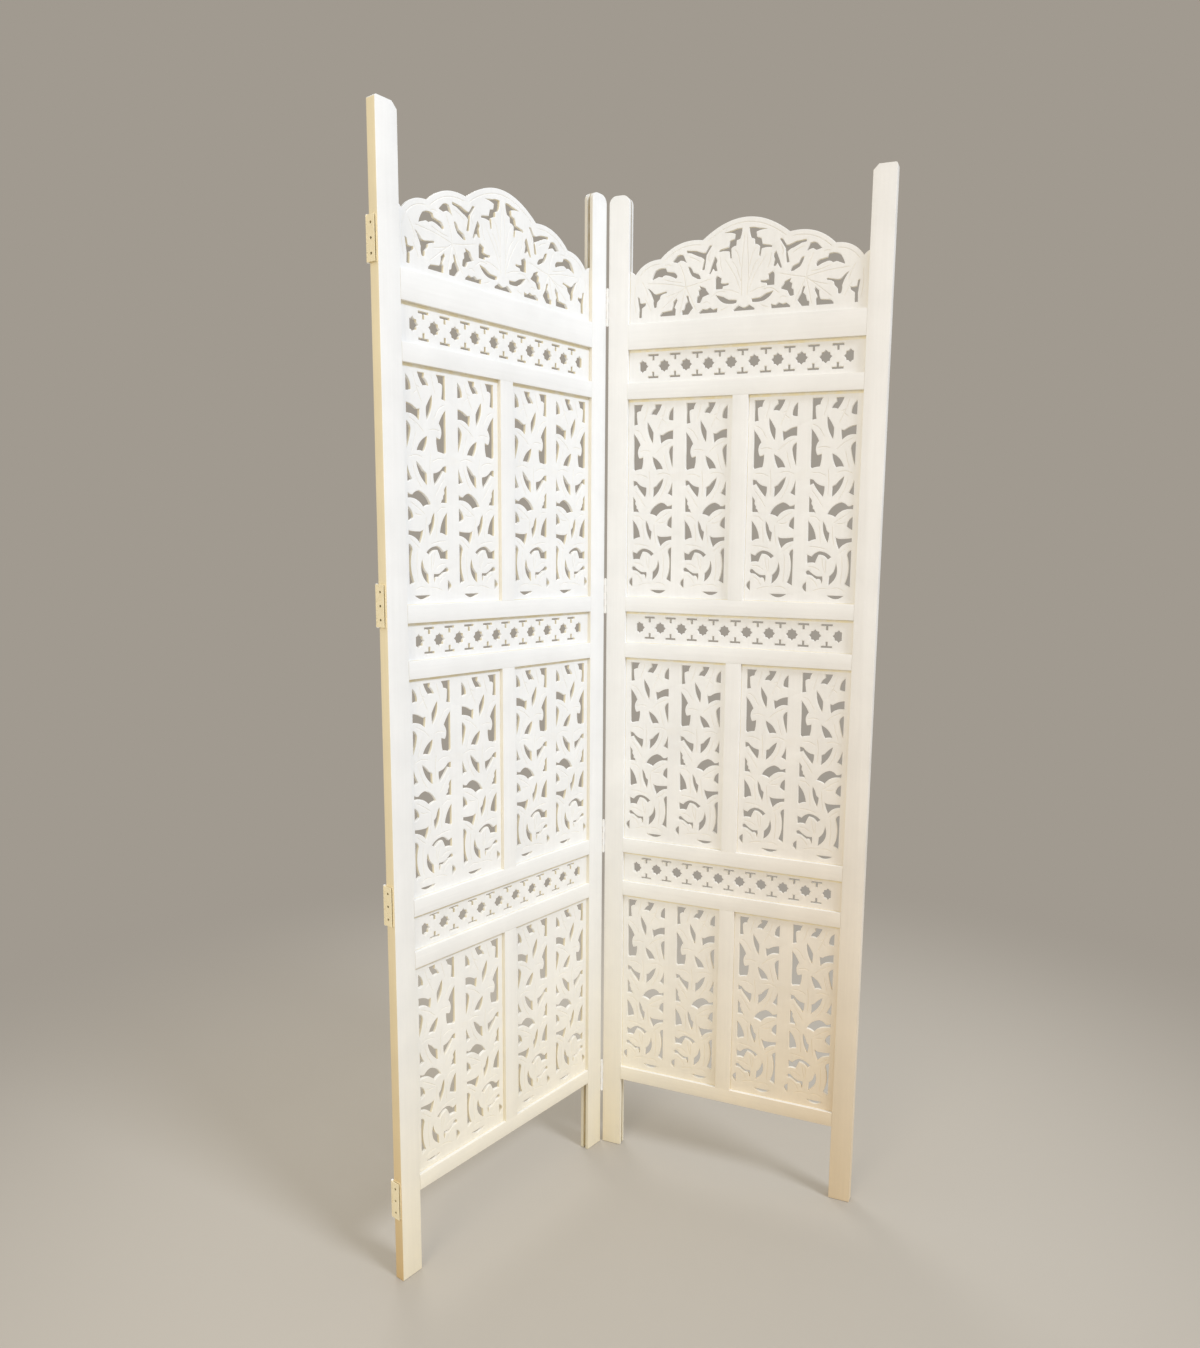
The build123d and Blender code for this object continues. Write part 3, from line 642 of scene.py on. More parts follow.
def seam_round(left, foot, right, head):
    """The seams round a board's opening, each with the line inside it where its dust ends.

    Under the rail at the head a band of painted shadow lies instead, thick almost to its end.
    """
    inner_left, inner_right, inner_foot = left + dust_reach, right - dust_reach, foot + dust_reach
    band, band_end = head - head_shadow_band, head - head_shadow_band - head_shadow_fade
    sides = [(left, band), (left, foot), (right, foot), (right, band)]
    sides_end = [(inner_left, band_end), (inner_left, inner_foot), (inner_right, inner_foot),
                 (inner_right, band_end)]
    # The band of painted shadow under the head rail.
    ledge = [(left, band), (left, head), (right, head), (right, band), (left, band)]
    return [(sides, sides_end), (ledge, [(inner_left, band_end), (inner_right, band_end)])]


def window_mesh(tier):
    """The vine board of one tier, from the corner of its opening."""
    foot, head = windows[tier]
    high = (head - foot) / MM
    wide = (leaf_middle - muntin_width / 2 - panel_start) / MM
    edge = insert / MM
    column = (wide - 2 * vine_side_margin - vine_column_gap) / 2
    across = column / vine_drawn_width
    down = (high - vine_top_margin - vine_bottom_margin) / vine_drawn_height
    holes = []
    veins = []
    for number in range(2):
        left = vine_side_margin + number * (column + vine_column_gap)
        holes += [shifted(hole, left, high - vine_top_margin, across, -down) for hole in vine_holes]
        veins += [shifted(vein, left, high - vine_top_margin, across, -down) for vein in vine_veins]
    outline = rectangle(-edge, -edge, wide + edge, high + edge)
    return carved_mesh("vine_board_" + tier, outline, holes, veins, seam_round(0, 0, wide, high), False)


def star_outline(centre, low, high):
    """An eight-pointed star, cut off past the first and the last centre."""
    points = []
    for step in range(16):
        radius = star_tip if step % 4 == 0 else star_diagonal_tip if step % 2 == 0 else star_notch
        points.append((centre + radius * cos(step * pi / 8), radius * sin(step * pi / 8)))
    kept = []
    for (x_a, z_a), (x_b, z_b) in zip(points, points[1:] + points[:1]):
        if low <= x_a <= high:
            kept.append((x_a, z_a))
        for cut in (low, high):
            if (x_a - cut) * (x_b - cut) < 0:
                kept.append((cut, z_a + (cut - x_a) / (x_b - x_a) * (z_b - z_a)))
    return kept


def strip_mesh():
    """The star strip, from the middle of its opening."""
    foot, head = strips["upper"]
    half_high = (head - foot) / MM / 2
    half_wide = panel_length / MM / 2
    edge = insert / MM
    first = -(star_count - 1) * star_pitch / 2
    low, high = first - star_end_cut, -first + star_end_cut
    holes = [star_outline(first + i * star_pitch, low, high) for i in range(star_count)]
    reach = half_high - tee_margin
    for i in range(star_count - 1):
        centre = first + (i + 0.5) * star_pitch
        for up in (1, -1):
            holes.append([(centre + x, up * (reach - z)) for x, z in tee_outline])
    outline = rectangle(-(half_wide + edge), -(half_high + edge), half_wide + edge, half_high + edge)
    seams = seam_round(-half_wide, -half_high, half_wide, half_high)
    return carved_mesh("star_strip", outline, holes, [], seams, False)


def lobe_line(top, half_width):
    """The line cut along the lobes of the crest, as runs that break where two lobes meet."""
    near_post = 3.0
    break_length = 6.0
    own_border = 0.985
    rim = bowed(top, vein_step)
    rim = rim[:rim.index(top[-1][:2]) + 1]
    tree = search_tree(rim)
    runs = [[]]
    for start, end in zip(rim, rim[1:]):
        point = beside(start, end, start, -crest_border)
        if distance(tree, point) > crest_border * own_border and abs(point[0]) < half_width - near_post:
            run = runs[-1]
            if run and hypot(point[0] - run[-1][0], point[1] - run[-1][1]) > break_length:
                runs.append([])
            runs[-1].append(point)
    thinned = [run[::3] for run in runs]
    return [run for run in thinned if len(run) > 1]


def crest_mesh():
    """The crest board, from the middle of its foot."""
    edge = insert / MM
    reach = panel_length / MM / 2 + edge
    half_width = reach - edge
    across = panel_length / MM / 2 / crest_drawn_half_width
    top = shifted(crest_top_edge, 0, 0, across)
    shoulder = top[0][1]
    outline = [(-reach, shoulder), (-reach, -edge), (reach, -edge), (reach, shoulder)] + top
    holes = [shifted(crest_middle_hole, 0, 0, across)]
    veins = [shifted(vein, 0, 0, across) for vein in crest_middle_veins]
    for side in (across, -across):
        holes += [shifted(hole, 0, 0, side) for hole in crest_half_holes]
        veins += [shifted(vein, 0, 0, side) for vein in crest_half_veins]
    veins += lobe_line(top, half_width)
    seam = [(-half_width, shoulder), (-half_width, 0), (half_width, 0), (half_width, shoulder)]
    dust_side, dust_head = half_width - dust_reach, shoulder - shoulder_dust_gap
    dust_and_shadow_end = [(-dust_side, dust_head), (-dust_side, dust_reach), (dust_side, dust_reach),
                (dust_side, dust_head)]
    return carved_mesh("crest_board", outline, holes, veins, [(seam, dust_and_shadow_end)], True)


# ---------------------------------------------------------------- frame members
# Directions round an eased edge, from one face to the other.
arris_turns = (0, pi / 6, pi / 3, pi / 2)
arc_pieces = 10
outer_post_chamfer = 9.0 * MM
outer_post_turn = 4.0 * MM
hinge_post_turn = 14.0 * MM
# How far a quarter circle bows out from its chord, as a share of its radius.
quarter_bow = 1 - cos(pi / 4)
# A tenon starts a little inside its member.
tenon_start = 1.0 * MM
# A sharp corner is drawn in by no more than this share of its mitre.
least_mitre = 0.5


def close_shape(shape, mesh):
    """Writes a bmesh into a mesh with its faces looking outwards."""
    bmesh.ops.recalc_face_normals(shape, faces=shape.faces)
    shape.to_mesh(mesh)
    shape.free()
    shade(mesh)


def loft(name, rings, stains_and_shade):
    """A closed mesh through rings of points, with flat ends and a stain for each point."""
    size = len(rings[0])
    vertices = [p for ring in rings for p in ring]
    faces = [tuple(range(size)), tuple(reversed(range(len(vertices) - size, len(vertices))))]
    for k in range(len(rings) - 1):
        for i in range(size):
            j = (i + 1) % size
            faces.append((k * size + i, (k + 1) * size + i, (k + 1) * size + j, k * size + j))
    mesh = bpy.data.meshes.new(name)
    mesh.from_pydata(vertices, [], faces)
    set_stains_and_shade(mesh, stains_and_shade)
    shape = bmesh.new()
    shape.from_mesh(mesh)
    close_shape(shape, mesh)
    return mesh


def inset(points, amount):
    """A convex outline drawn in by an amount."""
    centre_x = sum(p[0] for p in points) / len(points)
    centre_z = sum(p[1] for p in points) / len(points)
    result = []
    for i, (x, z) in enumerate(points):
        before, after = points[i - 1], points[(i + 1) % len(points)]
        normals = []
        for (x_a, z_a), (x_b, z_b) in ((before, (x, z)), ((x, z), after)):
            length = hypot(x_b - x_a, z_b - z_a)
            normal = Vector(((z_b - z_a) / length, -(x_b - x_a) / length))
            if normal.dot(Vector((x - centre_x, z - centre_z))) < 0:
                normal = -normal
            normals.append(normal)
        lean = (normals[0] + normals[1]).normalized()
        lean = lean / max(least_mitre, lean.dot(normals[0]))
        result.append((x - lean.x * amount, z - lean.y * amount))
    return result


def arced(outline):
    """Points along an outline with the swollen edges drawn as arcs of circles."""
    points = []
    for x, z, run_x, run_z, swell in edges_of(outline):
        length = hypot(run_x, run_z)
        pieces = arc_pieces if swell else 1
        for t in (i / pieces for i in range(pieces)):
            bow = 0.0
            if swell:
                radius = (swell ** 2 + (length / 2) ** 2) / (2 * swell)
                chord = (t - 0.5) * length
                bow = sqrt(radius ** 2 - chord ** 2) - (radius - swell)
            points.append((x + run_x * t + run_z / length * bow, z + run_z * t - run_x / length * bow))
    return points


def post_mesh(name, outer):
    """A post with its shaped top, its groove and eased edges."""
    radius = bpy.context.scene.jali_carving.post_arris
    low, high = (panel_end, leaf_end) if outer else (half_gap, panel_start)
    turn = outer_post_turn if outer else hinge_post_turn
    bow = turn * quarter_bow
    top = [(high, screen_height - turn, bow), (high - turn, screen_height)]
    if outer:
        top += [(low + outer_post_chamfer, screen_height), (low, screen_height - outer_post_chamfer)]
    else:
        top += [(low + turn, screen_height, bow), (low, screen_height - turn)]
    points = arced([(low, 0.0), (high, 0.0)] + top)
    if outer:
        grooved = [(max(x, low + groove_depth), z) for x, z in points]
    else:
        grooved = [(min(x, high - groove_depth), z) for x, z in points]
    clean = [0.0] * len(points)
    dusty = [post_groove_stain if point != cut else 0.0 for point, cut in zip(points, grooved)]
    easing = [(inset(points, radius * (1 - sin(a))), radius * (1 - cos(a)),
               [arris_stain * sin(2 * a)] * len(points)) for a in arris_turns]
    layers = [(ring, front + depth, worn) for ring, depth, worn in easing]
    layers += [(points, groove_front, clean), (grooved, groove_front, dusty),
               (grooved, groove_rear, dusty), (points, groove_rear, clean)]
    layers += [(ring, rear - depth, worn) for ring, depth, worn in reversed(easing)]
    rings = [[(x, depth, z) for x, z in ring] for ring, depth, _ in layers]
    return loft(name, rings, [value for _, _, worn in layers for value in worn])


def eased_corner(depth, position, depth_way, position_way, turns):
    """Points (depth, position, stain) round one corner of a rail's or muntin's section."""
    radius = bpy.context.scene.jali_carving.arris
    return [(depth + depth_way * radius * (1 - sin(a)), position + position_way * radius * (1 - cos(a)),
             arris_stain * sin(2 * a)) for a in turns]


def section_groove(first, last, position, way):
    """Points (depth, position, stain) round the groove in one edge of that section."""
    bottom = position + way * groove_depth
    return [(first, position, 0), (first, bottom, rail_groove_stain), (last, bottom, rail_groove_stain),
            (last, position, 0)]


def grooved_section(low, high, groove_low, groove_high):
    """Section (depth, position, stain) of a rail or muntin between low and high, with eased corners."""
    section = eased_corner(front, low, 1, 1, arris_turns[::-1])
    section += section_groove(groove_front, groove_rear, low, 1) if groove_low else []
    section += eased_corner(rear, low, -1, 1, arris_turns)
    section += eased_corner(rear, high, -1, -1, arris_turns[::-1])
    section += section_groove(groove_rear, groove_front, high, -1) if groove_high else []
    section += eased_corner(front, high, 1, -1, arris_turns)
    return section


def member_mesh(name, low, high, grooves, start, end, upright):
    """A rail or muntin: its grooved section drawn from start to end, with a stub tenon at both ends."""
    section = grooved_section(low, high, *grooves)
    rings = [[(p, d, place) if upright else (place, d, p) for d, p, _ in section] for place in (start, end)]
    body = loft(name, rings, [stain for _, _, stain in section] * 2)
    foot = low + (groove_depth if grooves[0] else 0)
    head = high - (groove_depth if grooves[1] else 0)
    tenon = rectangle(board_front, foot, board_rear, head)
    shape = bmesh.new()
    shape.from_mesh(body)
    for place, way in ((start, -1), (end, 1)):
        ring = []
        for reach in (place - way * tenon_start, place + way * insert):
            for depth, across in tenon:
                ring.append(shape.verts.new((across, depth, reach) if upright else (reach, depth, across)))
        for i in range(4):
            j = (i + 1) % 4
            shape.faces.new((ring[i], ring[j], ring[4 + j], ring[4 + i]))
        shape.faces.new(ring[:4])
        shape.faces.new(ring[4:])
    close_shape(shape, body)
    return body


# ---------------------------------------------------------------- setting pieces in place
def seat(mesh, name, material):
    """Puts a copy of a piece drawn flat on each leaf, in the place of the node with its name."""
    hinge_spot = Matrix.Translation((hinge_axis_x, hinge_axis_y, 0.0))
    for side in ("left", "right"):
        own = mesh.copy()
        own.name = name
        if side == "left":
            own.transform(Matrix.Diagonal((-1.0, 1.0, 1.0, 1.0)))
            own.flip_normals()
        own.materials.clear()
        own.materials.append(material)
        piece = bpy.data.objects.new("painted_" + side + "_" + name, own)
        bpy.context.scene.collection.objects.link(piece)
        piece.matrix_world = hinge_spot if side == "left" else hinge_spot @ Matrix.Rotation(fold, 4, "Z")
        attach(piece, side + "_leaf")
        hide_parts(side + "_" + name)


def moved(mesh, x, z):
    """A copy of a mesh moved along its leaf and up."""
    copy = mesh.copy()
    copy.transform(Matrix.Translation((x, 0.0, z)))
    return copy


# ---------------------------------------------------------------- materials
def add_node(tree, kind, inputs=None, **settings):
    """Adds a node with its settings and its sockets' values or links. A node stands for its result."""
    node = tree.nodes.new("ShaderNode" + kind)
    for key, value in settings.items():
        setattr(node, key, value)
    for socket, value in (inputs or {}).items():
        if isinstance(value, bpy.types.Node):
            value = next(output for output in value.outputs if output.enabled)
        if isinstance(value, bpy.types.NodeSocket):
            tree.links.new(value, node.inputs[socket])
        else:
            node.inputs[socket].default_value = value
    return node


def blank_material(name):
    """A material with no nodes yet, and add_node for its tree."""
    material = bpy.data.materials.new(name)
    material.use_nodes = True
    material.node_tree.nodes.clear()
    return material, partial(add_node, material.node_tree)


def brushed_ivory_paint(name, stroke_axis, side_shade_tones):
    """Ivory oil paint brushed on mango wood: satin, faint bristle lines along each member, yellower
    towards the floor. Painted shade makes it tan on narrow sides, undersides and walls of cuts that look
    left or down, and darker towards the right leaf's free end; a painted highlight whitens faces that
    look up."""
    paint = bpy.context.scene.jali_paint
    fresh = (*paint.ivory, 1.0)
    material, add = blank_material(name)
    coordinates = add("TexCoord")
    here = coordinates.outputs["Object"]
    place = add("SeparateXYZ", {"Vector": here})
    facing = add("SeparateXYZ", {"Vector": coordinates.outputs["Normal"]})

    # Bristle lines are 1 mm apart; 5 mm is as fine as a whole screen can show. A stroke is 140 mm long.
    across_strokes, along_strokes = 200.0, 7.0
    scale = [across_strokes] * 3
    scale[stroke_axis] = along_strokes
    lay = add("Mapping", {"Vector": here, "Scale": tuple(scale)})
    strokes = add("TexNoise", {"Vector": lay, "Scale": 1.0, "Detail": 4.0, "Roughness": 0.6})
    # Clouds of tone a hand wide (90 mm), and dabs 14 mm wide.
    clouds = add("TexNoise", {"Vector": here, "Scale": 11.0, "Detail": 4.0, "Roughness": 0.55})
    dabs = add("TexNoise", {"Vector": here, "Scale": 70.0, "Detail": 3.0})

    # The colour grows yellower from 1.2 m up down to the floor, a little unevenly.
    low = add("MapRange", {"Value": place.outputs["Z"], "From Min": 0.0, "From Max": 1.2, "To Min": 1.0,
                           "To Max": 0.0})
    height = add("Math", {0: low, 1: 2.8}, operation="POWER")
    uneven = add("Math", {0: clouds, 1: 0.35, 2: 0.82}, operation="MULTIPLY_ADD")
    floor_tint = add("Math", {0: height, 1: uneven}, operation="MULTIPLY", use_clamp=True)

    # Painted shade: the right leaf lies along X from the hinges, and its free end is the darker the lower
    # it is, as if less light reached it.
    outward = add("MapRange", {"Value": place.outputs["X"], "From Min": 0.05, "From Max": 0.45})
    lower = add("Math", {0: low, 1: 1.3}, operation="POWER")
    darker = add("Math", {0: lower, 1: 0.62, 2: 0.14}, operation="MULTIPLY_ADD")
    free_end_shade = add("Math", {0: darker, 1: outward}, operation="MULTIPLY")

    # Painted shade: the faces that look left along the leaf or down are tan, as if lit less and by warmer
    # light.
    sideways = add("Math", {0: 0.0, 1: facing.outputs["X"]}, operation="SUBTRACT")
    down = add("Math", {0: 0.0, 1: facing.outputs["Z"]}, operation="SUBTRACT")
    facing_left_or_down = add("Math", {0: sideways, 1: down}, operation="MAXIMUM")
    side_shade = add("MapRange", {"Value": facing_left_or_down, "From Min": 0.8, "From Max": 0.97})
    side_shade_tone = add("ValToRGB", {"Fac": height})
    for stop, tone in zip(side_shade_tone.color_ramp.elements, side_shade_tones):
        stop.color = linear(tone)
    # Painted highlight: the ledges that look up are whiter, as if lit from above.
    ledge = add("MapRange", {"Value": facing.outputs["Z"], "From Min": 0.65, "From Max": 0.92,
                             "To Max": 0.7})

    colour = fresh
    for share, coat in ((floor_tint, (*paint.floor_ivory, 1.0)), (free_end_shade, (*paint.free_end_shade_ivory, 1.0)),
                        (side_shade, side_shade_tone), (ledge, fresh)):
        colour = add("Mix", {"Factor": share, "A": colour, "B": coat}, data_type="RGBA")

    # Clouds and bristle lines shade it by a few percent.
    mottle = add("MapRange", {"Value": clouds, "From Min": 0.3, "From Max": 0.7, "To Min": 0.955,
                              "To Max": 1.02})
    streaks = add("MapRange", {"Value": strokes, "From Min": 0.25, "From Max": 0.75, "To Min": 0.975,
                               "To Max": 1.015})
    shading = add("Math", {0: mottle, 1: streaks}, operation="MULTIPLY")
    grey = add("CombineColor", {"Red": shading, "Green": shading, "Blue": shading})
    shaded = add("Mix", {"Factor": 1.0, "A": colour, "B": grey}, data_type="RGBA", blend_type="MULTIPLY")

    # Where an arris is rubbed or a cut holds dust, the coat is thinned and warm; the same colour is painted
    # shadow under the head rails and painted shade in the veins and hole walls.
    stain = add("Attribute", attribute_name="stain").outputs["Fac"]
    patchy = add("MapRange", {"Value": dabs, "From Min": 0.35, "From Max": 0.65, "To Min": 0.45,
                              "To Max": 1.0})
    dusty = add("Math", {0: stain, 1: patchy}, operation="MULTIPLY")
    deep = add("MapRange", {"Value": stain, "From Min": 0.7, "From Max": 0.85})
    dirt = add("Mix", {"Factor": deep, "A": (*paint.seam_dust_and_shade, 1.0), "B": (*paint.grime, 1.0)},
               data_type="RGBA")
    colour = add("Mix", {"Factor": dusty, "A": shaded, "B": dirt}, data_type="RGBA")

    gloss = add("MapRange", {"Value": clouds, "From Min": 0.3, "From Max": 0.7, "To Min": 0.42,
                             "To Max": 0.58})
    lift = add("Math", {0: strokes, 1: dabs}, operation="ADD")
    bump = add("Bump", {"Height": lift, "Strength": 0.25, "Distance": 0.0006})
    shader = add("BsdfPrincipled", {"Base Color": colour, "Roughness": gloss, "IOR": 1.48, "Normal": bump})
    add("OutputMaterial", {"Surface": shader})
    return material


def painted_steel(name, tone, thin_tone):
    """Pressed steel brushed over with the frame: thick coat, soft gloss, a few rust-brown chips."""
    material, add = blank_material(name)
    here = add("TexCoord").outputs["Object"]
    # Brush dabs 6 mm wide, and chips 2 mm wide.
    dabs = add("TexNoise", {"Vector": here, "Scale": 160.0, "Detail": 3.0})
    chips = add("TexNoise", {"Vector": here, "Scale": 520.0, "Detail": 2.0})
    worn = add("MapRange", {"Value": chips, "From Min": 0.7, "From Max": 0.75})
    coat = add("MapRange", {"Value": dabs, "From Min": 0.3, "From Max": 0.7, "To Min": 0.0, "To Max": 0.35})
    body = add("Mix", {"Factor": coat, "A": (*tone, 1.0), "B": linear(thin_tone)}, data_type="RGBA")
    colour = add("Mix", {"Factor": worn, "A": body, "B": linear("#8A6E4B")}, data_type="RGBA")
    gloss = add("MapRange", {"Value": dabs, "To Min": 0.32, "To Max": 0.48})
    bump = add("Bump", {"Height": dabs, "Strength": 0.3, "Distance": 0.0004})
    shader = add("BsdfPrincipled", {"Base Color": colour, "Roughness": gloss, "IOR": 1.5, "Normal": bump})
    add("OutputMaterial", {"Surface": shader})
    return material


def bare_steel():
    """Steel screw heads that the brush could not reach: dull grey-brown, with rust bloom."""
    material, add = blank_material("aged_bare_steel")
    here = add("TexCoord").outputs["Object"]
    # Rust blooms 3 mm wide.
    bloom = add("TexNoise", {"Vector": here, "Scale": 330.0, "Detail": 4.0})
    rusty = add("MapRange", {"Value": bloom, "From Min": 0.4, "From Max": 0.65})
    colour = add("Mix", {"Factor": rusty, "A": linear("#4A443E"), "B": linear("#3E2A1C")}, data_type="RGBA")
    metal = add("Math", {0: 1.0, 1: rusty}, operation="SUBTRACT")
    dull = add("MapRange", {"Value": rusty, "To Min": 0.45, "To Max": 0.85})
    bump = add("Bump", {"Height": bloom, "Strength": 0.3, "Distance": 0.0003})
    shader = add("BsdfPrincipled", {"Base Color": colour, "Metallic": metal, "Roughness": dull,
                                    "Normal": bump})
    add("OutputMaterial", {"Surface": shader})
    return material


# Painted shade on the faces that look left or down, at the head and at the foot of the screen.
SIDE_SHADE_TONES = {
    "outer_post": ("#F2E5C2", "#D8BA85"),
    "carving": ("#EFE7D0", "#E8DBBC"),
    "inner": ("#EDE8DA", "#E6DDC2"),
}


def ivory_paint(member):
    """The brushed ivory paint of a kind of member, made the first time it is asked for."""
    name = "ivory_paint_" + member
    stroke_axis = 0 if member == "rail" else 2
    side_shade_tones = SIDE_SHADE_TONES.get(member, SIDE_SHADE_TONES["inner"])
    return bpy.data.materials.get(name) or brushed_ivory_paint(name, stroke_axis, side_shade_tones)


def seen_directly(add):
    """1 for rays from the camera or off gloss, which see the plain background."""
    path = add("LightPath")
    return add("Math", {0: path.outputs["Is Camera Ray"], 1: path.outputs["Is Glossy Ray"]},
               operation="MAXIMUM")


def stage_floor_material():
    """Matt plain floor, which fades into the background a few strides out."""
    stage = bpy.context.scene.jali_stage
    material, add = blank_material("plain_floor")
    matt = add("BsdfPrincipled", {"Base Color": (*stage.floor, 1.0), "Roughness": 0.9,
                                  "Specular IOR Level": 0.0})
    place = add("TexCoord")
    away = add("VectorMath", {0: place.outputs["Object"]}, operation="LENGTH")
    fade = add("MapRange", {"Value": away.outputs["Value"], "From Min": 0.6, "From Max": 2.1},
               interpolation_type="SMOOTHSTEP")
    glow = add("Emission", {"Color": (*stage.backdrop, 1.0), "Strength": 1.0})
    share = add("Math", {0: seen_directly(add), 1: fade}, operation="MULTIPLY")
    both = add("MixShader", {"Fac": share, 1: matt, 2: glow})
    add("OutputMaterial", {"Surface": both})
    return material


# ---------------------------------------------------------------- operators
class JALI_OT_posts(bpy.types.Operator):
    """Builds the four posts with eased edges, shaped tops and grooves"""

    bl_idname = "jali.posts"
    bl_label = "Posts"

    def execute(self, context):
        for name, outer in (("hinge_post", False), ("outer_post", True)):
            seat(post_mesh(name, outer), name, ivory_paint(name))
        return {"FINISHED"}


class JALI_OT_rails(bpy.types.Operator):
    """Builds the seven rails of each leaf with their grooves and stub tenons"""

    bl_idname = "jali.rails"
    bl_label = "Rails"

    def execute(self, context):
        for name in rails:
            low, high = rail_span(name)
            grooves = (name != "bottom_rail", True)
            mesh = member_mesh(name, low, high, grooves, panel_start, panel_end, False)
            seat(mesh, name, ivory_paint("rail"))
        return {"FINISHED"}


class JALI_OT_muntins(bpy.types.Operator):
    """Builds the upright that halves each tall window"""

    bl_idname = "jali.muntins"
    bl_label = "Muntins"

    def execute(self, context):
        low, high = leaf_middle - muntin_width / 2, leaf_middle + muntin_width / 2
        for tier, (foot, head) in windows.items():
            name = tier + "_muntin"
            mesh = member_mesh(name, low, high, (True, True), foot, head, True)
            seat(mesh, name, ivory_paint("muntin"))
        return {"FINISHED"}


class JALI_OT_vine_boards(bpy.types.Operator):
    """Carves the twelve vine boards of the tall windows"""

    bl_idname = "jali.vine_boards"
    bl_label = "Vine boards"

    def execute(self, context):
        starts = {"inner": panel_start, "outer": leaf_middle + muntin_width / 2}
        for tier, (foot, _) in windows.items():
            mesh = window_mesh(tier)
            for place, start in starts.items():
                name = f"{tier}_{place}_vine_board"
                seat(moved(mesh, start, foot), name, ivory_paint("carving"))
        return {"FINISHED"}


class JALI_OT_star_strips(bpy.types.Operator):
    """Pierces the six strips of stars"""

    bl_idname = "jali.star_strips"
    bl_label = "Star strips"

    def execute(self, context):
        mesh = strip_mesh()
        for tier, (foot, head) in strips.items():
            strip = moved(mesh, leaf_middle, (foot + head) / 2)
            seat(strip, tier + "_star_strip", ivory_paint("carving"))
        return {"FINISHED"}


class JALI_OT_crests(bpy.types.Operator):
    """Carves the two lobed crest boards"""

    bl_idname = "jali.crests"
    bl_label = "Crests"

    def execute(self, context):
        mesh = moved(crest_mesh(), leaf_middle, crest_foot)
        seat(mesh, "crest_board", ivory_paint("carving"))
        return {"FINISHED"}


class JALI_OT_hinges(bpy.types.Operator):
    """Paints the hinge leaves, pins and screws"""

    bl_idname = "jali.hinges"
    bl_label = "Hinges"

    def execute(self, context):
        paint = context.scene.jali_paint
        # Painted shade: the outer hinges take a warmer cream copy of the hinge paint, as their side is in
        # shade.
        cream = painted_steel("cream_painted_steel", paint.hinge_cream, "#E6D5A6")
        ivory = painted_steel("ivory_painted_steel", paint.ivory, "#EDE6D6")
        bare = bare_steel()
        for name, node in frame["nodes"].items():
            if "screws" in name:
                finish = bare
            elif name.startswith("free_hinge_leaf") or name == "outer_hinge_fixed_leaves":
                finish = cream
            elif "hinge_leaf" in name or name == "hinge_pins":
                finish = ivory
            else:
                continue
            node.data.materials.clear()
            node.data.materials.append(finish)
        return {"FINISHED"}


# The floor is a wide disc just under the feet.
floor_radius = 40.0
floor_height = -0.0005
floor_sides = 64
sky_colour = (1.0, 0.968, 0.91, 1.0)
# Each lamp's place, width and colour; all look at the middle of the screen.
lamps = {
    "key": ((-0.3, -9.0, 8.6), 3.0, (0.83, 0.89, 1.0)),
    "fill": ((-3.0, -0.6, 1.9), 1.6, (1.0, 0.9, 0.74)),
    "back": ((1.6, 2.6, 2.8), 1.5, (1.0, 1.0, 1.0)),
}
lamp_target = Vector((0, 0, 1.0))
# The camera stands in front and to the left, 1.2 m above the floor; its turn is in degrees.
camera_place = (-1.29532, -0.98459, 1.21403)
camera_turn = (81.43708, -0.83515, -53.17064)
camera_settings = {
    "sensor_fit": "VERTICAL",
    "sensor_height": 36.0,
    "lens": 26.846,
    "shift_x": -0.03978,
    "shift_y": 0.01679,
    "clip_start": 0.05,
    "clip_end": 200.0,
}


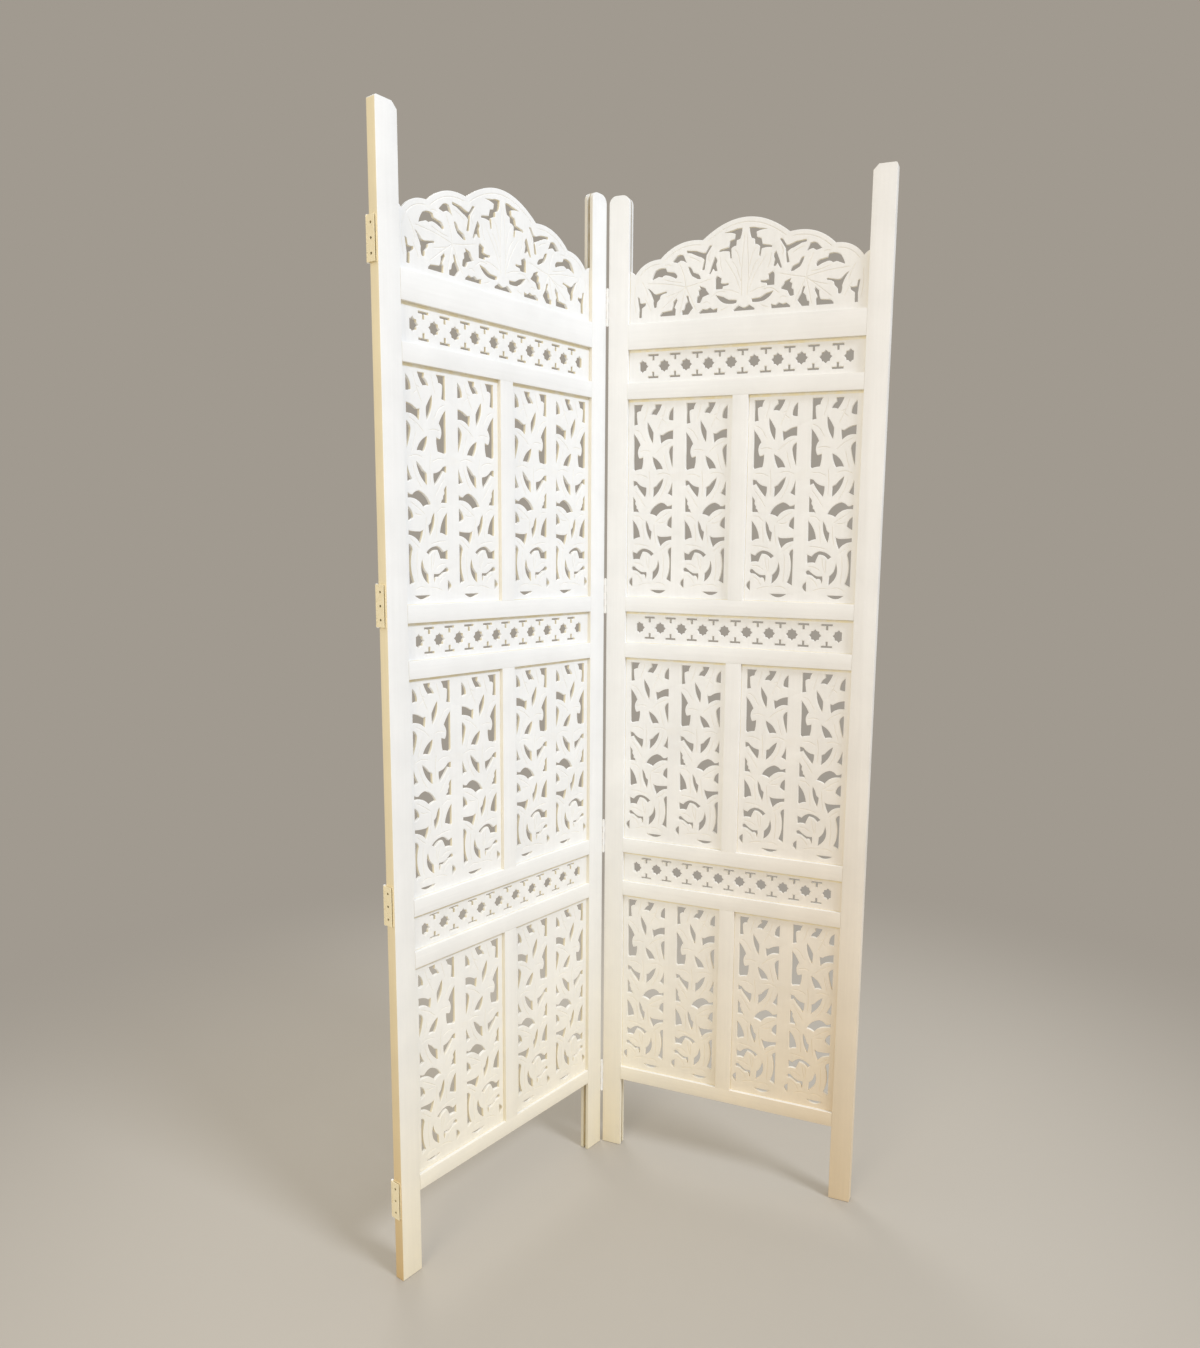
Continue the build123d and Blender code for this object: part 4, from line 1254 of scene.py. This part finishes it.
class JALI_OT_stage(bpy.types.Operator):
    """Sets the floor, background, lamps and camera"""

    bl_idname = "jali.stage"
    bl_label = "Stage"

    def execute(self, context):
        stage = context.scene.jali_stage
        objects = context.scene.collection.objects
        mesh = bpy.data.meshes.new("floor")
        angles = [i * 2 * pi / floor_sides for i in range(floor_sides)]
        rim = [(floor_radius * cos(a), floor_radius * sin(a), floor_height) for a in angles]
        mesh.from_pydata(rim, [], [tuple(range(floor_sides))])
        mesh.materials.append(stage_floor_material())
        floor = bpy.data.objects.new("floor", mesh)
        objects.link(floor)

        world = bpy.data.worlds.new("studio")
        context.scene.world = world
        world.use_nodes = True
        world.node_tree.nodes.clear()
        add = partial(add_node, world.node_tree)
        light = add("Background", {"Color": sky_colour, "Strength": stage.sky_strength})
        plain = add("Background", {"Color": (*stage.backdrop, 1.0), "Strength": 1.0})
        both = add("MixShader", {"Fac": seen_directly(add), 1: light, 2: plain})
        add("OutputWorld", {"Surface": both})

        for name, (spot, width, colour) in lamps.items():
            lamp = bpy.data.lights.new(name, "AREA")
            lamp.shape = "DISK"
            lamp.size = width
            lamp.energy = getattr(stage, name + "_power")
            lamp.color = colour
            holder = bpy.data.objects.new(name, lamp)
            objects.link(holder)
            holder.location = spot
            holder.rotation_euler = (lamp_target - Vector(spot)).to_track_quat("-Z", "Y").to_euler()

        lens = bpy.data.cameras.new("camera")
        for setting, value in camera_settings.items():
            setattr(lens, setting, value)
        camera = bpy.data.objects.new("camera", lens)
        objects.link(camera)
        camera.location = camera_place
        camera.rotation_euler = [radians(angle) for angle in camera_turn]
        context.scene.camera = camera
        context.scene.view_settings.view_transform = "Standard"
        return {"FINISHED"}


class JALI_PT_panel(bpy.types.Panel):
    """Lists the steps that build the screen"""

    bl_idname = "JALI_PT_panel"
    bl_label = "Jali screen"
    bl_space_type = "VIEW_3D"
    bl_region_type = "UI"
    bl_category = "Jali screen"

    def draw(self, context):
        layout = self.layout
        for group in (context.scene.jali_paint, context.scene.jali_carving, context.scene.jali_stage):
            box = layout.box()
            for name in group.__annotations__:
                box.prop(group, name)
        for operator in OPERATORS:
            layout.operator(operator.bl_idname)


GROUPS = {"jali_paint": JaliPaint, "jali_carving": JaliCarving, "jali_stage": JaliStage}
OPERATORS = (JALI_OT_posts, JALI_OT_rails, JALI_OT_muntins, JALI_OT_vine_boards, JALI_OT_star_strips,
             JALI_OT_crests, JALI_OT_hinges, JALI_OT_stage)
CLASSES = (*GROUPS.values(), *OPERATORS, JALI_PT_panel)


def register():
    """Registers the classes and hangs the settings on the scene."""
    for item in CLASSES:
        bpy.utils.register_class(item)
    for name, group in GROUPS.items():
        setattr(bpy.types.Scene, name, PointerProperty(type=group))


def unregister():
    """Takes the settings and classes away again."""
    for name in GROUPS:
        delattr(bpy.types.Scene, name)
    for item in reversed(CLASSES):
        bpy.utils.unregister_class(item)


def main():
    """Builds the whole screen."""
    register()
    bpy.ops.jali.posts()
    bpy.ops.jali.rails()
    bpy.ops.jali.muntins()
    bpy.ops.jali.vine_boards()
    bpy.ops.jali.star_strips()
    bpy.ops.jali.crests()
    bpy.ops.jali.hinges()
    bpy.ops.jali.stage()


if __name__ == "__main__":
    main()
